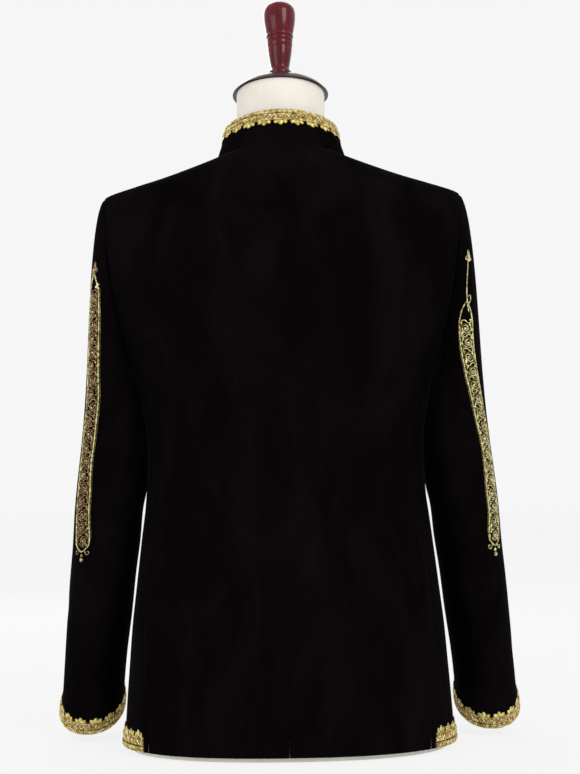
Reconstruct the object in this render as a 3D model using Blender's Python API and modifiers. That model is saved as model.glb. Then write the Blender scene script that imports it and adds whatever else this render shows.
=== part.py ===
# Velvet stand-collar jacket, buttoned, on a limbless dress form.
# Metres, +Z up. The wearer faces -Y, the wearer's left is +X, and z = 0 is the form's flat base.

import math

import bpy
import numpy as np

COLLECTION_NAME = "button_up_jacket_on_dress_form"

# Cloth and seams
WALL = 0.002
SEAM_GAP = 0.0003
SLEEVE_HEAD_GAP = 0.0002  # the sleeve's share of the gap at the armhole
LAP = 0.015  # the left front runs this far past the centre front
STEP_OUT = 0.0185  # the right front dips under the lap between these distances from the centre front
STEP_IN = 0.0156
SQUARENESS = 2.3  # 2 is an ellipse, more is squarer

# Outer surface of the jacket's body, a row for each level. Half width is on the side line, and
# blade width counts towards the centre back and front, where the shoulder rounds off lower down.
BODY_COLUMNS = ("z", "half_width", "blade_width", "back", "front")
BLADE_POWER = 10.0
SOLVE_STEPS = 40
BODY_SECTIONS = (
    (0.006, 0.2000, 0.2000, 0.128, 0.120),
    (0.050, 0.1955, 0.1955, 0.128, 0.120),
    (0.100, 0.1905, 0.1905, 0.126, 0.118),
    (0.146, 0.1855, 0.1855, 0.122, 0.115),
    (0.183, 0.1805, 0.1805, 0.117, 0.112),
    (0.240, 0.1735, 0.1735, 0.108, 0.107),
    (0.283, 0.1685, 0.1685, 0.102, 0.105),
    (0.320, 0.1655, 0.1655, 0.099, 0.106),
    (0.360, 0.1655, 0.1655, 0.101, 0.110),
    (0.400, 0.1710, 0.1710, 0.108, 0.116),
    (0.450, 0.1840, 0.1840, 0.116, 0.123),
    (0.496, 0.2030, 0.2030, 0.120, 0.124),
    (0.530, 0.2160, 0.2160, 0.119, 0.119),
    (0.560, 0.2240, 0.2240, 0.116, 0.111),
    (0.600, 0.2285, 0.2282, 0.108, 0.097),
    (0.625, 0.2260, 0.2233, 0.101, 0.085),
    (0.642, 0.2230, 0.2160, 0.0955, 0.0755),
    (0.650, 0.2198, 0.2092, 0.0925, 0.0715),
    (0.656, 0.2140, 0.2010, 0.0902, 0.0690),
    (0.664, 0.1860, 0.1828, 0.0875, 0.0662),
    (0.671, 0.1610, 0.1600, 0.0854, 0.0640),
    (0.685, 0.1185, 0.1185, 0.0814, 0.0612),
    (0.699, 0.0805, 0.0805, 0.0773, 0.0590),
    (0.720, 0.0412, 0.0412, 0.0712, 0.0560),
)

# Levels of the grid's rows on the body panels
BODY_ROWS = (0.006, 0.030, 0.062, 0.100, 0.146, 0.194, 0.240, 0.283, 0.320, 0.360, 0.400, 0.435, 0.464)
SHOULDER_SHARES = (0.18, 0.38, 0.58, 0.79, 1.0)  # of the way from the shoulder tip to the neckline
STRETCH_FROM_Z = 0.283  # below this the rows of every panel are level

# Armhole, an oval seen from the side, on the body's surface. Its points are even steps of its turn,
# which is 0 at the shoulder tip and 90 degrees at the back.
ARMHOLE_TOP = 0.656
ARMHOLE_MIDDLE = 0.553
ARMHOLE_BOTTOM = 0.452
ARMHOLE_REACH = 0.0565  # from the middle to its back and front
ARMHOLE_SQUARENESS = 2.2
ARMHOLE_POINTS = 20
ARMHOLE_JOIN = 7  # the side panel lies between this point and its match at the front

# Seams of the side panel, in degrees round from the centre back
SEAM_COLUMNS = ("z", "side_back", "side_front")
SEAM_TABLE = (
    (0.006, 57.0, 112.0),
    (0.100, 61.0, 111.0),
    (0.200, 65.0, 110.0),
    (0.283, 70.0, 108.0),
    (0.360, 74.5, 106.5),
    (0.430, 73.5, 107.0),
)
VENT_TOP = 0.085  # the side-back seam is open below this
VENT_OPEN = 0.0022  # width of the open vent at the hem

# The panels' columns at the neckline, in degrees of plan angle
BACK_TURNS = (0.0, 15.0, 30.0, 45.0, 60.0, 75.0, 90.0)
FRONT_TURNS = (90.0, 105.0, 120.0, 135.0, 150.0)

# Soft folds of the body: side, centre in degrees and level, half sizes, lean and height (minus is a trough)
BODY_FOLDS = (
    (1, 34, 0.315, 30, 0.016, 60, -0.0030),
    (-1, 40, 0.330, 26, 0.018, 75, -0.0026),
    (1, 52, 0.262, 24, 0.014, 40, -0.0022),
    (-1, 48, 0.280, 30, 0.013, 30, -0.0028),
    (1, 55, 0.500, 11, 0.085, 0, 0.0030),
    (-1, 53, 0.510, 10, 0.075, 0, 0.0034),
    (1, 27, 0.105, 9, 0.095, 0, 0.0022),
    (-1, 22, 0.115, 10, 0.085, 0, 0.0026),
    (1, 128, 0.315, 26, 0.017, -50, -0.0026),
    (-1, 132, 0.325, 30, 0.015, -60, -0.0030),
    (1, 132, 0.520, 10, 0.075, 0, 0.0026),
    (-1, 130, 0.500, 11, 0.070, 0, 0.0028),
)

CALM_BACK = 8.0  # degrees from the centre back, and from the centre front, where folds die out
CALM_FRONT = 14.0
LEAN = 1e-5  # metres that a fold climbs in a degree, for a lean of 1

# Neckline, an oval in plan on the body's surface
NECK_HALF_WIDTH = 0.0795
NECK_BACK = 0.0760
NECK_FRONT = 0.0660
NECK_LEVELS = (0.630, 0.719)  # the neckline lies between these

# Sleeve sections below the armpit, a row for each ring of the arm
SLEEVE_COLUMNS = ("z", "inner", "outer", "centre_y", "half_depth", "tilt")
SLEEVE_SECTIONS = (
    (0.428, 0.1890, 0.2385, -0.004, 0.0740, 2.0),
    (0.398, 0.1800, 0.2412, -0.006, 0.0720, 5.0),
    (0.360, 0.1705, 0.2458, -0.010, 0.0690, 9.0),
    (0.322, 0.1705, 0.2513, -0.016, 0.0655, 12.0),
    (0.283, 0.1755, 0.2565, -0.023, 0.0625, 14.0),
    (0.240, 0.1812, 0.2610, -0.034, 0.0600, 16.0),
    (0.200, 0.1895, 0.2665, -0.045, 0.0585, 18.0),
    (0.150, 0.1968, 0.2730, -0.059, 0.0565, 21.0),
    (0.100, 0.2045, 0.2790, -0.072, 0.0550, 25.0),
    (0.034, 0.2100, 0.2868, -0.087, 0.0540, 28.0),
)
SLEEVE_RINGS = (0.428, 0.405, 0.382, 0.355, 0.325, 0.295, 0.262, 0.225, 0.185, 0.140, 0.090, 0.055, 0.034)
CAP_SHARES = (0.0, 0.10, 0.22, 0.38, 0.56, 0.78)
SLEEVE_SQUARENESS = 2.15
HINDARM_COLUMN = 4  # the sleeve's back seam, counted from the shoulder tip
FOREARM_COLUMN = 14
# How the cap leaves the armhole, as shares of its length: sideways, more so at its top, backwards, down
CAP_SIDEWAYS = 0.12
CAP_TOP_SIDEWAYS = 0.10
CAP_BACKWARDS = 0.18
CAP_DOWN = 0.85
CAP_TOP_LESS_DOWN = 0.62

# Sleeve folds: centre in degrees round the arm (0 outer, 90 back) and level, half sizes, lean, height
SLEEVE_FOLDS = (
    (1, 150, 0.345, 60, 0.012, 40, -0.0040),
    (-1, 140, 0.330, 55, 0.013, 30, -0.0044),
    (1, 205, 0.300, 60, 0.012, -30, -0.0042),
    (-1, 210, 0.290, 55, 0.011, -40, -0.0038),
    (1, 110, 0.395, 50, 0.014, 60, -0.0030),
    (-1, 100, 0.405, 45, 0.015, 70, -0.0032),
    (1, 60, 0.150, 45, 0.014, -30, -0.0020),
    (-1, 75, 0.130, 50, 0.015, 40, -0.0024),
)

INNER_CALM = 0.3  # share of the sleeve's inner side where its folds don't push sideways

# Stand collar: its top edge seen from above, and how high it stands at the back, side and front
COLLAR_TOP_HALF_WIDTH = 0.0650
COLLAR_TOP_BACK = 0.0670
COLLAR_TOP_FRONT = 0.0600
COLLAR_TOP_BACK_Z = 0.7470
COLLAR_TOP_SIDE_Z = 0.7405
COLLAR_TOP_FRONT_Z = 0.7040
COLLAR_FRONT_GAP = 0.0016
COLLAR_ROWS_UP = 3
COLLAR_BOW = 0.0003  # the stand swells this much half way up

# Scalloped braid
BRAID = 0.0014
BRAID_LIFT = 0.0006  # its back stands this far off the cloth's points
BRAID_HEIGHT = 0.0200
BRAID_VALLEY = 0.0140  # height between two scallops
SCALLOP_PITCH = 0.0180
SCALLOP_SHARES = (0.0, 0.28, 0.5, 0.72)  # places along one scallop, from valley to valley
BRAID_EDGE = 0.0010  # the braid stays this far inside the cloth's edge
COLLAR_BRAID_END = 0.0020  # its ends stop this far from the collar's ends
HEM_BRAID_END = 0.0015
BRAID_ROWS = 5  # rows of the cloth's grid that a braid can reach over

# Raised cords of the sleeve embroidery, in the sleeve's own directions
BAND_TOP_Z = 0.550
BAND_BOTTOM_Z = 0.232
BAND_MIDDLE_COLUMN = 2.05  # counted in the sleeve's columns from the outer line to the back
BAND_HALF_WIDTH = 0.0165
BAND_CORD = 0.0011
BAND_STEPS = 26
SCROLL_WAVES = 9
SCROLL_HALF_WIDTH = 0.0085
SCROLL_CORD = 0.0009

# Buttons down the centre front
BUTTON_COUNT = 6
BUTTON_TOP_Z = 0.628
BUTTON_BOTTOM_Z = 0.170
BUTTON_RADIUS = 0.0095
BUTTON_HEIGHT = 0.0052
BUTTON_SIDES = 16
BUTTON_LIFT = 0.0004

# Dress form
FORM_SIDES = 24
FORM_TURN_ROWS = (0.0, 0.012, 0.070, 0.140, 0.210, 0.270, 0.320, 0.370, 0.425, 0.480, 0.530, 0.575, 0.610,
                  0.636, 0.654, 0.666, 0.677, 0.687)
FORM_TOP_Z = 0.6925
FORM_LID_SHARE = 0.80  # the flat under the neck, against the ring below it
FORM_FRONT_CLEAR = 0.0030  # more room at the centre front, where the fronts lap
FORM_FRONT_REACH = 30.0  # degrees
FORM_LEVEL_BELOW = 0.6  # below this the form's rings are level
FORM_COLUMNS = ("z", "clear", "widest")
FORM_FIT = (
    (0.000, 0.0085, 0.190),
    (0.100, 0.0085, 0.181),
    (0.200, 0.0085, 0.170),
    (0.320, 0.0080, 0.156),
    (0.450, 0.0085, 0.175),
    (0.560, 0.0085, 0.194),
    (0.620, 0.0070, 0.194),
    (0.645, 0.0045, 0.188),
    (0.660, 0.0022, 0.178),
    (0.672, 0.0011, 0.172),
    (0.700, 0.0010, 0.172),
)
NECK_TOP_Z = 0.7825
NECK_TOP_SLOPE = math.radians(7.0)  # the neck plate leans forward
NECK_RADIUS = 0.0540
NECK_FOOT_RADIUS = 0.0560
NECK_DEPTH_SHARE = 1.02
NECK_SIDES = 28

# Turned pieces on the neck, as radius and height above the neck's top
CAP_PROFILE = ((0.0, 0.0226), (0.0120, 0.0222), (0.0260, 0.0194), (0.0400, 0.0142), (0.0505, 0.0082),
               (0.0556, 0.0036), (0.0565, 0.0010), (0.0550, 0.0003), (0.0, 0.0003))
FINIAL_PROFILE = ((0.0, 0.0999), (0.0078, 0.0986), (0.0140, 0.0953), (0.0174, 0.0908), (0.0185, 0.0834),
                  (0.0181, 0.0754), (0.0169, 0.0676), (0.0157, 0.0603), (0.0149, 0.0575), (0.0154, 0.0553),
                  (0.0146, 0.0523), (0.0139, 0.0480), (0.0144, 0.0460), (0.0136, 0.0401), (0.0139, 0.0383),
                  (0.0124, 0.0285), (0.0113, 0.0211), (0.0102, 0.0136), (0.0109, 0.0105), (0.0139, 0.0073),
                  (0.0139, 0.0039), (0.0125, 0.0003), (0.0, 0.0003))
TURNED_SIDES = 16

# Colours as linear RGB, with roughness and metallic
FINISHES = {
    "velvet": ((0.006, 0.005, 0.006), 0.90, 0.0),
    "gold_braid": ((0.46, 0.33, 0.10), 0.45, 0.6),
    "gold_button": ((0.60, 0.42, 0.14), 0.30, 1.0),
    "cover": ((0.80, 0.76, 0.68), 0.85, 0.0),
    "cap": ((0.030, 0.008, 0.010), 0.25, 0.0),
    "lacquer": ((0.130, 0.007, 0.013), 0.20, 0.0),
}


def new_collection():
    """Clears the scene's objects and starts the object's own collection."""
    for old in list(bpy.data.objects):
        bpy.data.objects.remove(old)
    home = bpy.data.collections.new(COLLECTION_NAME)
    bpy.context.scene.collection.children.link(home)
    return home


def new_materials():
    made = {}
    for name, (colour, roughness, metallic) in FINISHES.items():
        material = bpy.data.materials.new(name)
        material.use_nodes = True
        shader = material.node_tree.nodes["Principled BSDF"]
        shader.inputs["Base Color"].default_value = (*colour, 1.0)
        shader.inputs["Roughness"].default_value = roughness
        shader.inputs["Metallic"].default_value = metallic
        made[name] = material
    return made


def read_table(columns, rows, name, at):
    """One named column of a table, as a smooth curve over the table's z."""
    levels = np.array([row[0] for row in rows])
    values = np.array([row[columns.index(name)] for row in rows])
    if levels[0] > levels[-1]:
        levels, values = levels[::-1], values[::-1]
    slopes = np.gradient(values, levels)
    at = np.clip(np.asarray(at, float), levels[0], levels[-1])
    k = np.clip(np.searchsorted(levels, at, side="right") - 1, 0, len(levels) - 2)
    step = levels[k + 1] - levels[k]
    t = (at - levels[k]) / step
    return (
        (2 * t**3 - 3 * t**2 + 1) * values[k]
        + (t**3 - 2 * t**2 + t) * step * slopes[k]
        + (3 * t**2 - 2 * t**3) * values[k + 1]
        + (t**3 - t**2) * step * slopes[k + 1]
    )


def body_value(name, z):
    return read_table(BODY_COLUMNS, BODY_SECTIONS, name, z)


def unit(vectors):
    return vectors / np.maximum(np.linalg.norm(vectors, axis=-1, keepdims=True), 1e-12)


def signed_power(value, power):
    return np.sign(value) * np.abs(value) ** power


def ring_width(across, z):
    """The half width that a ring's points take at this level; across is the sine of their angle."""
    blade = body_value("blade_width", z)
    return blade + (body_value("half_width", z) - blade) * np.abs(across) ** BLADE_POWER


def ring_depth(z, back):
    return np.where(back, body_value("back", z), body_value("front", z))


def body_bare(angle, z):
    """The body's surface before its folds; the angle runs from the centre back through +X."""
    angle, z = np.broadcast_arrays(np.asarray(angle, float), np.asarray(z, float))
    across, along = np.sin(angle), np.cos(angle)
    x = ring_width(across, z) * signed_power(across, 2 / SQUARENESS)
    return np.stack([x, ring_depth(z, along >= 0) * signed_power(along, 2 / SQUARENESS), z], axis=-1)


def turn_at_x(x, z):
    """The angle, up to a right angle, at which a ring is this wide."""
    across = np.zeros(np.broadcast(x, z).shape)
    for _ in range(SOLVE_STEPS):
        across = np.clip(np.abs(x) / ring_width(across, z), 0, 1) ** (SQUARENESS / 2)
    return np.arcsin(across)


def body_normal(angle, z):
    turn, lift = 0.02, 0.0015
    round_way = body_bare(angle + turn, z) - body_bare(angle - turn, z)
    up_way = body_bare(angle, z + lift) - body_bare(angle, z - lift)
    return unit(np.cross(up_way, round_way))


def fold_height(folds, side, degrees, z):
    """The sum of the soft folds of one side at these places."""
    total = np.zeros(np.broadcast(degrees, z).shape)
    for fold_side, centre, level, half_degrees, half_z, lean, height in folds:
        if fold_side == side:
            off_degrees = (degrees - centre) / half_degrees
            off_z = (z - level - (degrees - centre) * lean * LEAN) / half_z
            total += height * np.exp(-(off_degrees**2) - off_z**2)
    return total


def body_wall(side, angle, z, sink=0.0):
    """Outer and inner points of the body's cloth on the +X side, with that side's folds."""
    angle, z = np.broadcast_arrays(np.asarray(angle, float), np.asarray(z, float))
    normal = body_normal(angle, z)
    degrees = np.degrees(angle)
    calm = np.clip((180.0 - degrees) / CALM_FRONT, 0, 1) * np.clip(degrees / CALM_BACK, 0, 1)
    lift = fold_height(BODY_FOLDS, side, degrees, z) * calm - sink
    outer = body_bare(angle, z) + normal * lift[..., None]
    return outer, outer - normal * WALL


def armhole_level(turn):
    """Level of the armhole's oval at this turn, in radians from the shoulder tip."""
    upright = np.cos(turn)
    half = np.where(upright > 0, ARMHOLE_TOP - ARMHOLE_MIDDLE, ARMHOLE_MIDDLE - ARMHOLE_BOTTOM)
    return ARMHOLE_MIDDLE + half * signed_power(upright, 2 / ARMHOLE_SQUARENESS)


ARMHOLE_STEP = 2 * math.pi / ARMHOLE_POINTS
JOIN_Z = float(armhole_level(ARMHOLE_JOIN * ARMHOLE_STEP))  # the side panel's seams reach the armhole here
LOWER_ROWS = BODY_ROWS + (JOIN_Z,)
ARMHOLE_ROWS = tuple(float(armhole_level(k * ARMHOLE_STEP)) for k in range(ARMHOLE_JOIN - 1, -1, -1))
SIDE_COLUMNS_ACROSS = ARMHOLE_POINTS - 2 * ARMHOLE_JOIN


def seam_angle(name, z):
    """The angle of a side panel's seam, which ends on the armhole at JOIN_Z."""
    end = armhole_angle(JOIN_Z, back=name == "side_back")
    rows = SEAM_TABLE + ((JOIN_Z, math.degrees(end), math.degrees(end)),)
    return np.radians(read_table(SEAM_COLUMNS, rows, name, z))


def armhole_y(z):
    z = np.asarray(z, float)
    half = np.where(z > ARMHOLE_MIDDLE, ARMHOLE_TOP - ARMHOLE_MIDDLE, ARMHOLE_MIDDLE - ARMHOLE_BOTTOM)
    share = np.clip(np.abs(z - ARMHOLE_MIDDLE) / half, 0, 1)
    return ARMHOLE_REACH * (1 - share**ARMHOLE_SQUARENESS) ** (1 / ARMHOLE_SQUARENESS)


def armhole_angle(z, back):
    depth = body_value("back" if back else "front", z)
    turn = np.arccos(np.clip((armhole_y(z) / depth) ** (SQUARENESS / 2), 0, 1))
    return turn if back else math.pi - turn


def neck_surface_z(x, y):
    """The body's level at a place of the neckline."""
    low, high = np.full(x.shape, NECK_LEVELS[0]), np.full(x.shape, NECK_LEVELS[1])
    for _ in range(SOLVE_STEPS):
        middle = (low + high) / 2
        share = np.clip(np.abs(y) / ring_depth(middle, y >= 0), 0, 1) ** SQUARENESS
        across = np.sqrt(1 - share)
        inside = np.abs(x) < ring_width(across, middle) * across ** (2 / SQUARENESS)
        low = np.where(inside, middle, low)
        high = np.where(inside, high, middle)
    return (low + high) / 2


def neckline_z(angle):
    """The level where the body's surface, at this angle, meets the neckline's oval."""
    low = np.full(np.shape(angle), NECK_LEVELS[0])
    high = np.full(np.shape(angle), NECK_LEVELS[1])
    for _ in range(SOLVE_STEPS):
        middle = (low + high) / 2
        place = body_bare(angle, middle)
        reach = np.where(place[..., 1] >= 0, NECK_BACK, NECK_FRONT)
        outside = (place[..., 0] / NECK_HALF_WIDTH) ** 2 + (place[..., 1] / reach) ** 2 > 1
        low = np.where(outside, middle, low)
        high = np.where(outside, high, middle)
    return (low + high) / 2


SHOULDER_END = float(neckline_z(np.array(math.pi / 2)))  # level of the neckline on the shoulder


def row_rise():
    """How far each row of a panel stands between the first row that stretches and the neckline."""
    shoulder = [ARMHOLE_TOP + share * (SHOULDER_END - ARMHOLE_TOP) for share in SHOULDER_SHARES]
    levels = np.array(LOWER_ROWS + ARMHOLE_ROWS + tuple(shoulder))
    return np.clip((levels - STRETCH_FROM_Z) / (SHOULDER_END - STRETCH_FROM_Z), 0, 1)


def column_levels(top_z):
    """Row levels of one column: level rows, then rows that stretch to the neckline."""
    rise = row_rise()
    levels = STRETCH_FROM_Z + rise * (SHOULDER_END - STRETCH_FROM_Z)
    levels = np.where(rise > 0, levels, np.array((LOWER_ROWS + (0.0,) * len(rise))[: len(rise)]))
    return levels + rise**6 * (top_z - SHOULDER_END)


def angle_at_x(x, z):
    """The angle near the centre front where the body's surface is this far to the side."""
    turn = turn_at_x(x, z)
    return math.pi - turn if x > 0 else math.pi + turn


def plan_angle(degrees):
    """The body's angle and level at a point of the neckline, given as a plan angle."""
    across, along = math.sin(math.radians(degrees)), math.cos(math.radians(degrees))
    x, y = NECK_HALF_WIDTH * across, (NECK_BACK if along >= 0 else NECK_FRONT) * along
    z = float(neck_surface_z(np.array(x), np.array(y)))
    turn = float(turn_at_x(x, z))
    return (turn if along >= 0 else math.pi - turn), z


def panel_grid(first_edge, last_edge, turns):
    """Angles and levels of a panel from the hem to the neckline, whose columns end at these plan angles."""
    angles, levels = [], []
    for k, degrees in enumerate(turns):
        share = k / (len(turns) - 1)
        top_angle, top_z = plan_angle(degrees)
        column_z = column_levels(top_z)
        even = np.array([first_edge(z) * (1 - share) + last_edge(z) * share for z in column_z])
        rise = row_rise() ** 6
        angles.append(even + rise * (top_angle - even[-1]))
        levels.append(column_z)
    return np.array(angles).T, np.array(levels).T


def with_lap(angles, levels, places):
    """Adds the columns of a front that lie at fixed distances from the centre front."""
    for x in places:
        column_z = levels[:, -1].copy()
        for _ in range(3):
            top_z = float(neckline_z(angle_at_x(x, column_z[-1])))
            column_z = column_levels(top_z)
        angles = np.concatenate([angles, angle_at_x(x, column_z)[:, None]], axis=1)
        levels = np.concatenate([levels, column_z[:, None]], axis=1)
    return angles, levels


def back_outer_edge(z):
    if z < JOIN_Z - 1e-6:
        return float(seam_angle("side_back", z))
    return float(armhole_angle(z, True)) if z < ARMHOLE_TOP - 1e-6 else math.pi / 2


def front_outer_edge(z):
    if z < JOIN_Z - 1e-6:
        return float(seam_angle("side_front", z))
    return float(armhole_angle(z, False)) if z < ARMHOLE_TOP - 1e-6 else math.pi / 2


def front_step_edge(z):
    return float(angle_at_x(STEP_OUT, z))


def inset(grid, top=0.0, bottom=0.0, first=0.0, last=0.0):
    """Draws a grid's edges in by these distances, along the grid's own lines."""
    moved = grid.copy()
    moved[-1] += unit(grid[-2] - grid[-1]) * top
    moved[0] += unit(grid[1] - grid[0]) * bottom
    moved[:, 0] += unit(grid[:, 1] - grid[:, 0]) * np.reshape(first, (-1, 1))
    moved[:, -1] += unit(grid[:, -2] - grid[:, -1]) * np.reshape(last, (-1, 1))
    return moved


def mirrored(grid):
    return grid * np.array([-1.0, 1.0, 1.0])


def add_object(home, name, vertices, faces, material):
    mesh = bpy.data.meshes.new(name)
    mesh.from_pydata([tuple(float(c) for c in v) for v in vertices], [], faces)
    mesh.materials.append(material)
    mesh.shade_smooth()
    mesh.set_sharp_from_angle(angle=math.radians(40))
    made = bpy.data.objects.new(name, mesh)
    home.objects.link(made)
    return made


def wall_object(home, name, outer, inner, material, flip=False, closed=False):
    """A wall lofted between an outer and an inner grid; closed grids join their last column to the first."""
    rows, columns = outer.shape[:2]
    vertices = np.concatenate([outer.reshape(-1, 3), inner.reshape(-1, 3)])
    inside = rows * columns
    faces = []
    spans = columns if closed else columns - 1
    for r in range(rows - 1):
        for c in range(spans):
            a, b = r * columns + c, r * columns + (c + 1) % columns
            d, e = a + columns, b + columns
            faces.append((a, b, e, d))
            faces.append((inside + d, inside + e, inside + b, inside + a))
    for c in range(spans):
        a, b = c, (c + 1) % columns
        faces.append((b, a, inside + a, inside + b))
        a, b = a + (rows - 1) * columns, b + (rows - 1) * columns
        faces.append((a, b, inside + b, inside + a))
    if not closed:
        for r in range(rows - 1):
            a, d = r * columns, (r + 1) * columns
            faces.append((a, d, inside + d))
            faces.append((a, inside + d, inside + a))
            a, d = a + columns - 1, d + columns - 1
            faces.append((d, a, inside + d))
            faces.append((a, inside + a, inside + d))
    if flip:
        faces = [tuple(reversed(face)) for face in faces]
    return add_object(home, name, vertices, faces, material)


def vent_gap(levels):
    """How far each panel draws back from the side-back seam, level by level."""
    share = np.clip((VENT_TOP - levels) / VENT_TOP, 0, 1)
    return SEAM_GAP / 2 + share * VENT_OPEN / 2


def armhole_loop():
    """Angles and levels round the armhole: from the shoulder tip down the back, under the arm, up the front."""
    turn = np.arange(ARMHOLE_POINTS) * ARMHOLE_STEP
    levels = armhole_level(turn)
    angles = [float(armhole_angle(z, t < math.pi)) for t, z in zip(turn, levels)]
    return np.array([math.pi / 2, *angles[1:]]), levels


def sleeve_value(name, z):
    return read_table(SLEEVE_COLUMNS, SLEEVE_SECTIONS, name, z)


def sleeve_ring(side, turn, z):
    """One ring of the arm below the cap, with its folds; turn is 0 on the outer line and 90 degrees at the back."""
    inner, outer = sleeve_value("inner", z), sleeve_value("outer", z)
    half, depth = (outer - inner) / 2, sleeve_value("half_depth", z)
    tilt = np.radians(sleeve_value("tilt", z))
    power = 2 / SLEEVE_SQUARENESS
    sideways, backwards = signed_power(np.cos(turn), power), signed_power(np.sin(turn), power)
    lift = fold_height(SLEEVE_FOLDS, side, np.degrees(turn) % 360, z + 0 * turn)
    calm = np.clip(np.abs(np.cos(turn) + 1) / INNER_CALM, 0, 1)
    half, depth = half + lift * calm, depth + lift
    return np.stack(
        [
            inner / 2 + outer / 2 + half * sideways,
            sleeve_value("centre_y", z) + depth * backwards * np.cos(tilt),
            z - depth * backwards * np.sin(tilt),
        ],
        axis=-1,
    )


def sleeve_grid(side):
    """The outer points of a sleeve, from the armhole's edge down to the cuff, round from the outer line."""
    loop_angle, loop_z = armhole_loop()
    start, _ = body_wall(side, loop_angle, loop_z)
    count = len(loop_angle)
    turn = np.arange(count) * 2 * math.pi / count
    first_ring = sleeve_ring(side, turn, SLEEVE_RINGS[0])
    second_ring = sleeve_ring(side, turn, SLEEVE_RINGS[1])
    length = np.linalg.norm(first_ring - start, axis=1)[:, None]
    top_share = (np.cos(turn)[:, None] + 1) / 2
    outwards = np.array([1.0, 0.0, 0.0]) * (CAP_SIDEWAYS + CAP_TOP_SIDEWAYS * top_share)
    outwards = outwards + np.array([0.0, 1.0, 0.0]) * CAP_BACKWARDS * np.sin(turn)[:, None]
    downwards = np.array([0.0, 0.0, -1.0]) * (CAP_DOWN - CAP_TOP_LESS_DOWN * top_share**3)
    leave = (outwards + downwards) * length
    arrive = unit(second_ring - first_ring) * length
    rings = []
    for t in CAP_SHARES:
        rings.append(
            (2 * t**3 - 3 * t**2 + 1) * start
            + (t**3 - 2 * t**2 + t) * leave
            + (3 * t**2 - 2 * t**3) * first_ring
            + (t**3 - t**2) * arrive
        )
    rings += [sleeve_ring(side, turn, z) for z in SLEEVE_RINGS]
    return np.array(rings)


def ring_normals(grid):
    """Outward normals of a sleeve's grid, whose columns close on themselves."""
    round_way = np.roll(grid, -1, axis=1) - np.roll(grid, 1, axis=1)
    down_way = np.gradient(grid, axis=0)
    return unit(np.cross(round_way, down_way)) * -1


def sleeve_walls(side):
    """A sleeve's outer and inner grids, with its edge at the armhole mitred to the body's."""
    outer = sleeve_grid(side)
    normal = ring_normals(outer)
    inner = outer - normal * WALL
    return outer, inner, normal


def armhole_rim(side):
    """The inner rim that the body and the sleeve share round the armhole, before the seam's gap."""
    loop_angle, loop_z = armhole_loop()
    start, _ = body_wall(side, loop_angle, loop_z)
    outer, _, normal = sleeve_walls(side)
    body = body_normal(loop_angle, loop_z)
    shared = unit(body + normal[0])
    reach = WALL / np.maximum((shared * body).sum(1), 0.6)
    return start, start - shared * reach[:, None]


def make_body_panels(home, materials, side, tag):
    """Back, side panel and front of one side. The grids are made on +X and mirrored for the other side."""
    flip = side < 0
    place = (lambda g: g) if side > 0 else mirrored
    half_gap = SEAM_GAP / 2
    loop_start, loop_rim = armhole_rim(side)
    loop_angle, loop_z = armhole_loop()
    count_arm = len(ARMHOLE_ROWS)
    arm_rows = range(len(LOWER_ROWS) - 1, len(LOWER_ROWS) - 1 + count_arm + 1)
    made = {}

    angle, level = panel_grid(lambda z: 0.0, back_outer_edge, BACK_TURNS)
    outer, inner = body_wall(side, angle, level)
    back_loop = [(count_arm - k) for k in range(count_arm + 1)]
    for row, index in zip(arm_rows, back_loop):
        inner[row, -1] = loop_rim[index]
    side_gap = np.where(level[:, -1] < JOIN_Z, vent_gap(level[:, -1]), half_gap)
    edges = {"top": half_gap, "first": half_gap, "last": side_gap}
    made["back"] = (inset(outer, **edges), inset(inner, **edges))

    step_turn = math.degrees(math.pi - math.asin(STEP_OUT / NECK_HALF_WIDTH))
    angle, level = panel_grid(front_outer_edge, front_step_edge, FRONT_TURNS + (step_turn,))
    angle, level = with_lap(angle, level, (STEP_IN, -LAP))
    bare = body_bare(angle, level)
    under_lap = WALL + 0.0006
    from_edge = (bare[..., 0] - STEP_IN) / (STEP_OUT - STEP_IN)
    sink = under_lap * (1 - np.clip(from_edge, 0, 1)) if side < 0 else 0.0
    outer, inner = body_wall(side, angle, level, sink)
    front_loop = [(len(loop_z) - count_arm + k) % len(loop_z) for k in range(count_arm + 1)]
    for row, index in zip(arm_rows, front_loop):
        inner[row, 0] = loop_rim[index]
    edges = {"top": half_gap, "first": half_gap}
    made["front"] = (inset(outer, **edges), inset(inner, **edges))

    angles, levels = [], []
    for k in range(SIDE_COLUMNS_ACROSS + 1):
        top_angle, top_z = loop_angle[ARMHOLE_JOIN + k], loop_z[ARMHOLE_JOIN + k]
        share = k / SIDE_COLUMNS_ACROSS
        rows = np.array(LOWER_ROWS)
        rise = np.clip((rows - STRETCH_FROM_Z) / (JOIN_Z - STRETCH_FROM_Z), 0, 1)
        column_z = np.where(rows > STRETCH_FROM_Z, STRETCH_FROM_Z + rise * (top_z - STRETCH_FROM_Z), rows)
        even = seam_angle("side_back", column_z) * (1 - share) + seam_angle("side_front", column_z) * share
        angles.append(even + (top_angle - even[-1]) * rise**3)
        levels.append(column_z)
    outer, inner = body_wall(side, np.array(angles).T, np.array(levels).T)
    for k in range(SIDE_COLUMNS_ACROSS + 1):
        inner[-1, k] = loop_rim[ARMHOLE_JOIN + k]
    edges = {"top": half_gap, "first": vent_gap(np.array(levels).T[:, 0]), "last": half_gap}
    made["side"] = (inset(outer, **edges), inset(inner, **edges))

    for name, (outer, inner) in made.items():
        wall_object(home, f"{name}_{tag}", place(outer), place(inner), materials["velvet"], flip=not flip)
    return made


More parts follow.
